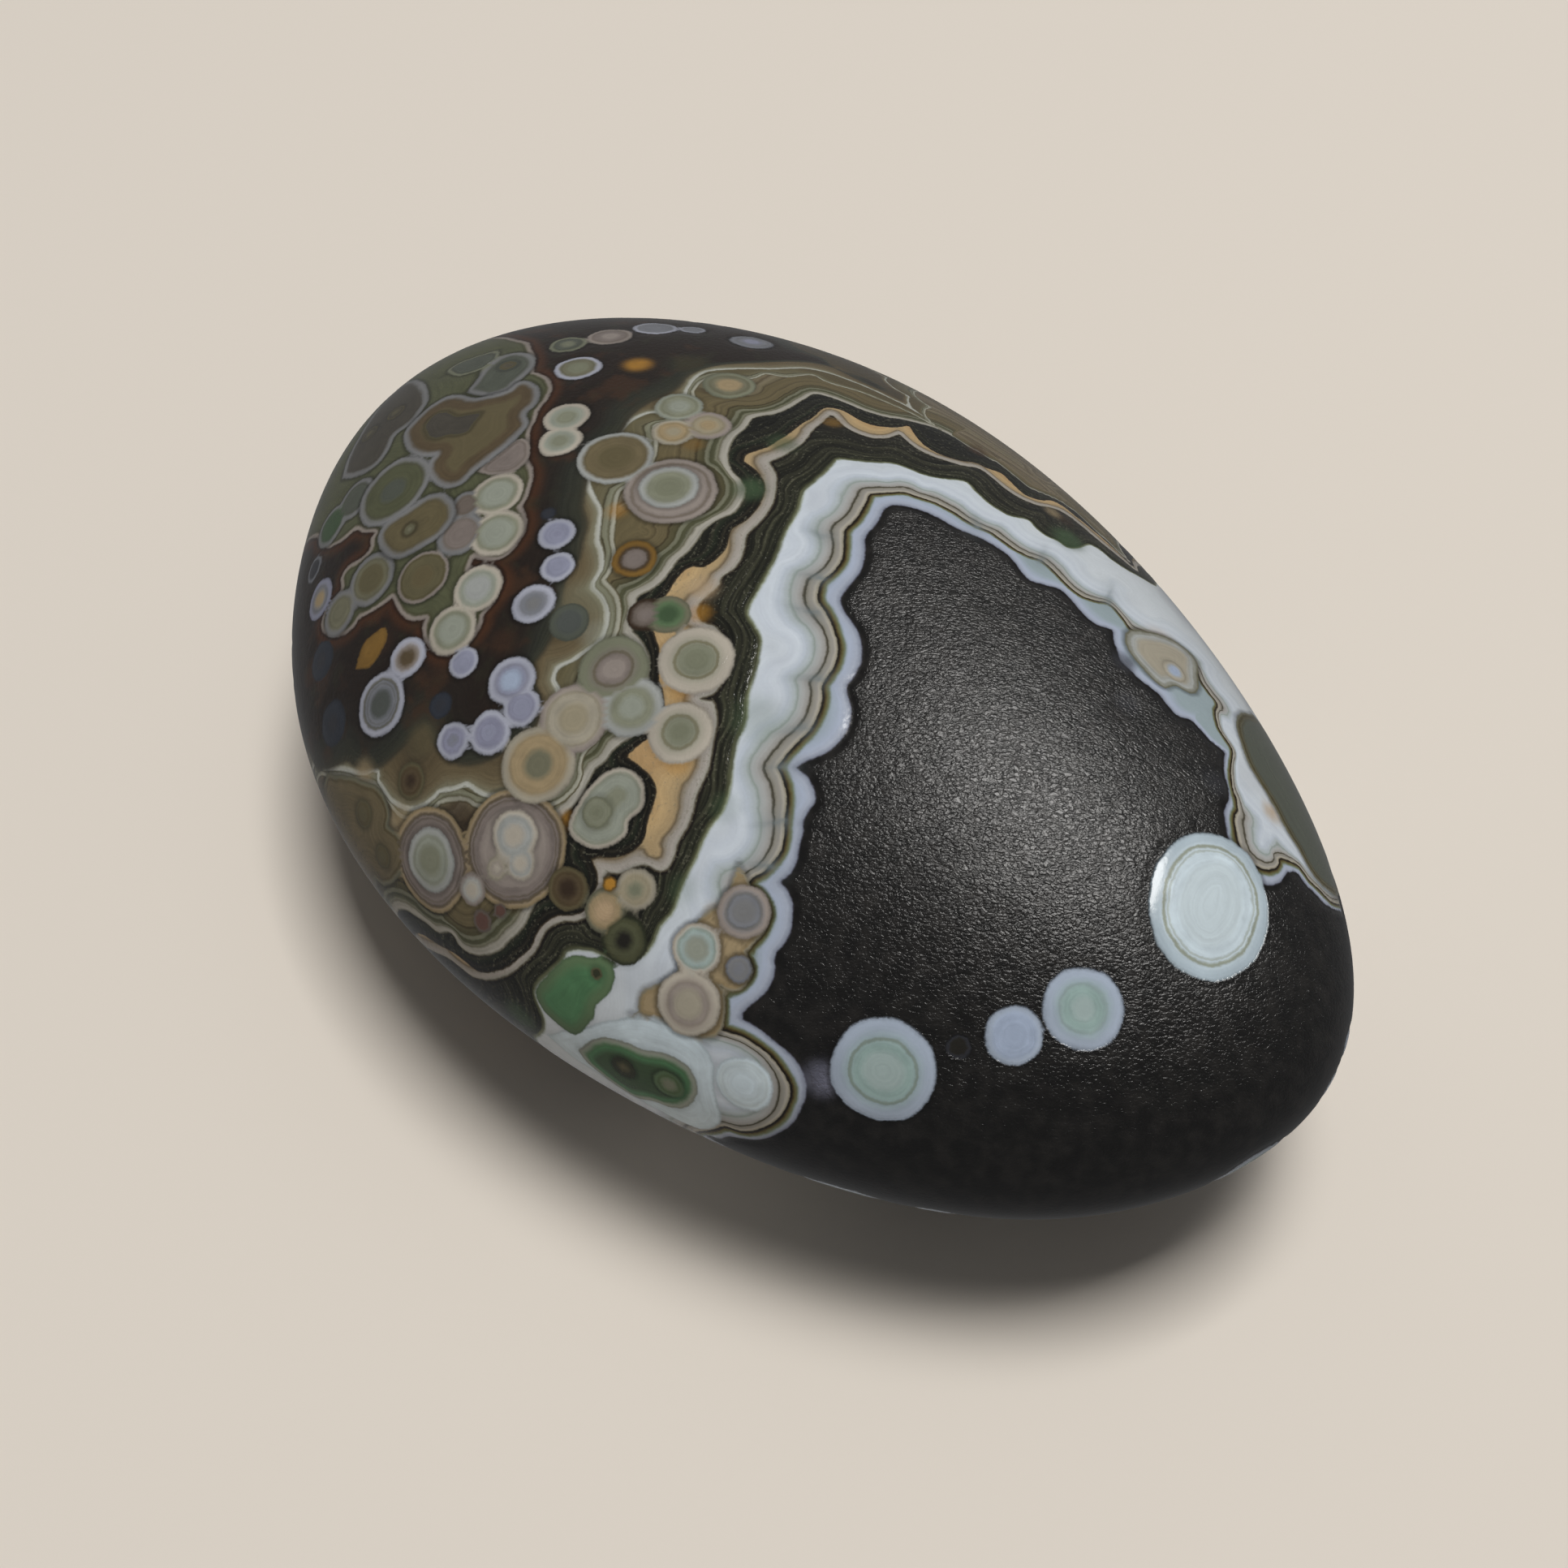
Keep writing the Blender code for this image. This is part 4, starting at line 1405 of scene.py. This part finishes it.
# On the far arm, beyond the stone's crest, the same layers are drawn out thinner.
far_arm = slope(place_parts.pick("Y"), FAR_ARM[0] * MM, FAR_ARM[1] * MM)

colour = over(solid((17, 16, 15)), solid((33, 31, 29)), slope(mottle, 0.35, 0.75))
for front in FRONTS:
    inward = field(front["name"])
    meander = (breath - 0.5) * slope(inward, *MEANDER_DEPTHS) * MEANDER
    distance = (inward + waver + meander + fuzz * 0.6) * (1 + far_arm * FAR_ARM_SQUEEZE)
    fine = streaks(distance, LAYER_LINES)
    strength = front["streaks"]
    band = layers(distance, front["bands"])
    band = shade(band, (1 - strength * 0.5) + (fine * strength).math("MAXIMUM", 0.0))
    colour = over(colour, band, slope(distance, *front["edge"]))
    if front["name"] == "white contour":
        dark_fine = fine

# The white layer is milkier in some lobes and bluer in others.
in_white = slope(field("inner line"), 1.4, 2.2) * (1 - slope(field("white contour"), -0.5, 0.0))
milky = slope(cloud(3.0, 0.0), 0.50, 0.70)
colour = over(colour, solid((176, 180, 186)), milky * in_white * 0.35)

# The dark layers get pale specks painted on as glints, a painted highlight, and the matrix is
# clouded with iron, most near the eyes.
shore = field("shore")
beyond_white = slope(field("white contour") + waver, 0.0, 0.3)
in_matrix = slope(field("matrix") + waver, 0.1, 0.9)
in_dark = beyond_white * (1 - slope(field("grey line"), -0.2, 0.2))
painted_glints = slope(grain + dark_fine * 0.6, 0.88, 1.06)
rusty = slope(cloud(2.6, 3.0), 0.54, 0.70)
glowing = slope(field("eye depth 0"), -0.98, -0.15)
smoky = slope(cloud(1.2, 5.0), 0.50, 0.75)
for cast, share in (
    # Pale specks painted on the dark layers as glints: a painted highlight, not a lamp's.
    ((116, 114, 96), painted_glints * in_dark * 0.35),
    ("rust", rusty * in_matrix * 0.6),
    ((84, 50, 28), glowing * in_matrix * 0.6),
    ("moss", smoky * in_matrix * 0.30),
):
    colour = over(colour, solid(cast), share)
stain_colour, stain_share = tint("stain")
colour = over(colour, stain_colour, stain_share * (STAIN_LEAST + STAIN_MOTTLE * mottle))

# An eye: a dark outline outside it, its rim, thin ring lines inside the rim, its body and core.
eye_mask = None
for level in range(LEVELS):
    depth = field(f"eye depth {level}") + (drift - 0.5) * EYE_WAVER + (tremble - 0.5) * 0.10 + fuzz
    rim, edge = tint(f"eye rim {level}")
    body, rim_width = tint(f"eye body {level}")
    core, core_depth = tint(f"eye core {level}")
    ring = field(f"eye ring {level}")
    outline = slope(depth, -0.34, -0.03) * edge
    colour = over(colour, shade(colour, 0.28), outline)
    inside = slope(depth, -0.08, 0.07)
    past_rim = depth - rim_width
    fine = streaks(depth, EYE_LINES)
    banding = 0.26 + ring * 0.45 if level == 0 else 0.34
    body = shade(body, (1 - banding * 0.5) + fine * banding + (mottle - 0.5) * 0.36)
    core = shade(core, 0.88 + fine * 0.24)
    rim = shade(rim, 0.70 + breath * 0.44 + fine * 0.16)
    eye = over(body, core, slope(depth - core_depth, -0.26, 0.20))
    eye = over(rim, eye, slope(depth / rim_width, 0.35, 1.50))
    ring_line = slope(past_rim, -0.07, 0.05) * (1 - slope(past_rim, 0.09, 0.24))
    second_line = slope(past_rim, 0.22, 0.29) * (1 - slope(past_rim, 0.31, 0.42))
    rings_drawn = ring_line * ring * 0.8 + second_line * slope(ring, 0.7, 1.0) * 0.45
    eye = over(eye, shade(eye, RING_SHADE), rings_drawn)
    eye = shade(eye, 0.72 + slope(depth, 0.0, 0.20) * 0.30)
    colour = over(colour, eye, inside)
    eye_mask = inside if eye_mask is None else eye_mask.math("MAXIMUM", inside)

colour = shade(colour, (0.84 + mottle * 0.10 + grain * 0.06) * (1 - beyond_white * 0.05))

# Wrinkles of the basin's crown, like fine leather, and the pebbly grain of the dark layers.
shaken = vector_math(paint, "ADD", object_place, (grain - 0.5) * (WRINKLE_SHAKE * MM))
turned = add(
    paint,
    "ShaderNodeMapping",
    {"vector_type": "TEXTURE"},
    shaken,
    None,
    (0, 0, WRINKLE_TURN),
    WRINKLE_STRETCH,
)
to_crease = add(
    paint,
    "ShaderNodeTexVoronoi",
    {"feature": "DISTANCE_TO_EDGE"},
    Vector=turned,
    Scale=1 / (PLATE_SIZE * MM),
)
plates = slope(to_crease, 0.0, 0.22)
folds = slope((noise(turned, FOLD_SIZE, 1.5) - 0.5).math("ABSOLUTE"), 0.0, 0.09)
leather = (
    plates * PLATE_HEIGHT
    + folds * FOLD_HEIGHT
    + cloud(0.21) * RIPPLE_HEIGHT
    + cloud(1.3) * SWELL_HEIGHT
)
in_basin_share = (1 - slope(shore, -0.45, -0.10)) * (1 - eye_mask)
crown = slope(place_parts.pick("Z"), CROWN[0] * MM, CROWN[1] * MM)
dark_share = beyond_white * (1 - eye_mask * 0.8)
height = (
    leather * in_basin_share * (CROWN_LEAST + (1 - CROWN_LEAST) * crown)
    + cloud(0.22) * (GRAIN_HEIGHT + dark_share * DARK_GRAIN_HEIGHT)
    + dark_fine * in_dark * DARK_LINE_HEIGHT
)
bump = add(paint, "ShaderNodeBump", {}, Strength=1.0, Distance=MM, Height=height)
finish = add(
    paint,
    "ShaderNodeBsdfPrincipled",
    {},
    Base_Color=colour,
    Roughness=POLISH + in_basin_share * BASIN_ROUGHNESS + mottle * MOTTLED_ROUGHNESS,
    IOR=AGATE_IOR,
    Normal=bump,
)
add(paint, "ShaderNodeOutputMaterial", {}, finish)

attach(stone, "root")
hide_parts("stone")


# The floor and the studio light: a plain pale table that the stone doesn't mirror, a window light
# that only makes the glance in the polish, where the photograph shows it, a sheet overhead that
# lights everything but isn't seen in the polish, and an even dim room.
FLOOR_SIDE = 3.0
FLOOR_COLOUR = (220, 211, 199)
GLANCE_PIXEL = (1285, 1000)
KEY_DISTANCE = 1.1
KEY_SIDE = 0.50
KEY_POWER = 9.4
KEY_COLOUR = (1.0, 0.98, 0.95)
OVERHEAD_PLACE = (0.05, 0.16, 1.2)
OVERHEAD_SIDE = 0.45
OVERHEAD_POWER = 12.6
ROOM_STRENGTH = 0.15
ROOM_COLOUR = (0.95, 0.95, 0.96, 1.0)

half = FLOOR_SIDE / 2
floor_mesh = bpy.data.meshes.new("table")
floor_mesh.from_pydata(
    [(-half, -half, 0), (half, -half, 0), (half, half, 0), (-half, half, 0)], [], [(0, 1, 2, 3)]
)
floor = bpy.data.objects.new("table", floor_mesh)
bpy.context.scene.collection.objects.link(floor)
plaster = bpy.data.materials.new("pale plaster")
plaster.use_nodes = True
plaster_tree = plaster.node_tree
plaster_tree.nodes.clear()
floor_look = add(
    plaster_tree,
    "ShaderNodeBsdfPrincipled",
    {},
    Base_Color=(*tone(FLOOR_COLOUR), 1.0),
    Roughness=0.8,
)
add(plaster_tree, "ShaderNodeOutputMaterial", {}, floor_look)
floor_mesh.materials.append(plaster)
floor.visible_glossy = False


def soft_light(name, side, power, place, back):
    """A square area light at a place, which shines the opposite way to back."""
    data = bpy.data.lights.new(name, "AREA")
    data.shape = "SQUARE"
    data.size = side
    data.energy = power
    light = bpy.data.objects.new(name, data)
    light.location = place
    light.rotation_euler = back.to_track_quat("Z", "Y").to_euler()
    bpy.context.scene.collection.objects.link(light)
    return light


glance = on_stone(*GLANCE_PIXEL)
glance_normal = skin.find_nearest(glance)[1]
seen_from = (CAMERA_PLACE - glance).normalized()
key_way = glance_normal * 2 * glance_normal.dot(seen_from) - seen_from
key_place = glance * MM + key_way.normalized() * KEY_DISTANCE
key = soft_light("window", KEY_SIDE, KEY_POWER, key_place, key_way)
key.data.color = KEY_COLOUR
key.visible_diffuse = False

sheet_place = Vector(OVERHEAD_PLACE)
overhead = soft_light("overhead sheet", OVERHEAD_SIDE, OVERHEAD_POWER, sheet_place, sheet_place)
overhead.visible_glossy = False

room = bpy.data.worlds.new("room")
room.use_nodes = True
room.node_tree.nodes.clear()
air = add(
    room.node_tree,
    "ShaderNodeBackground",
    {},
    Color=ROOM_COLOUR,
    Strength=ROOM_STRENGTH,
)
add(room.node_tree, "ShaderNodeOutputWorld", {}, air)
bpy.context.scene.world = room
bpy.context.scene.view_settings.view_transform = "Standard"
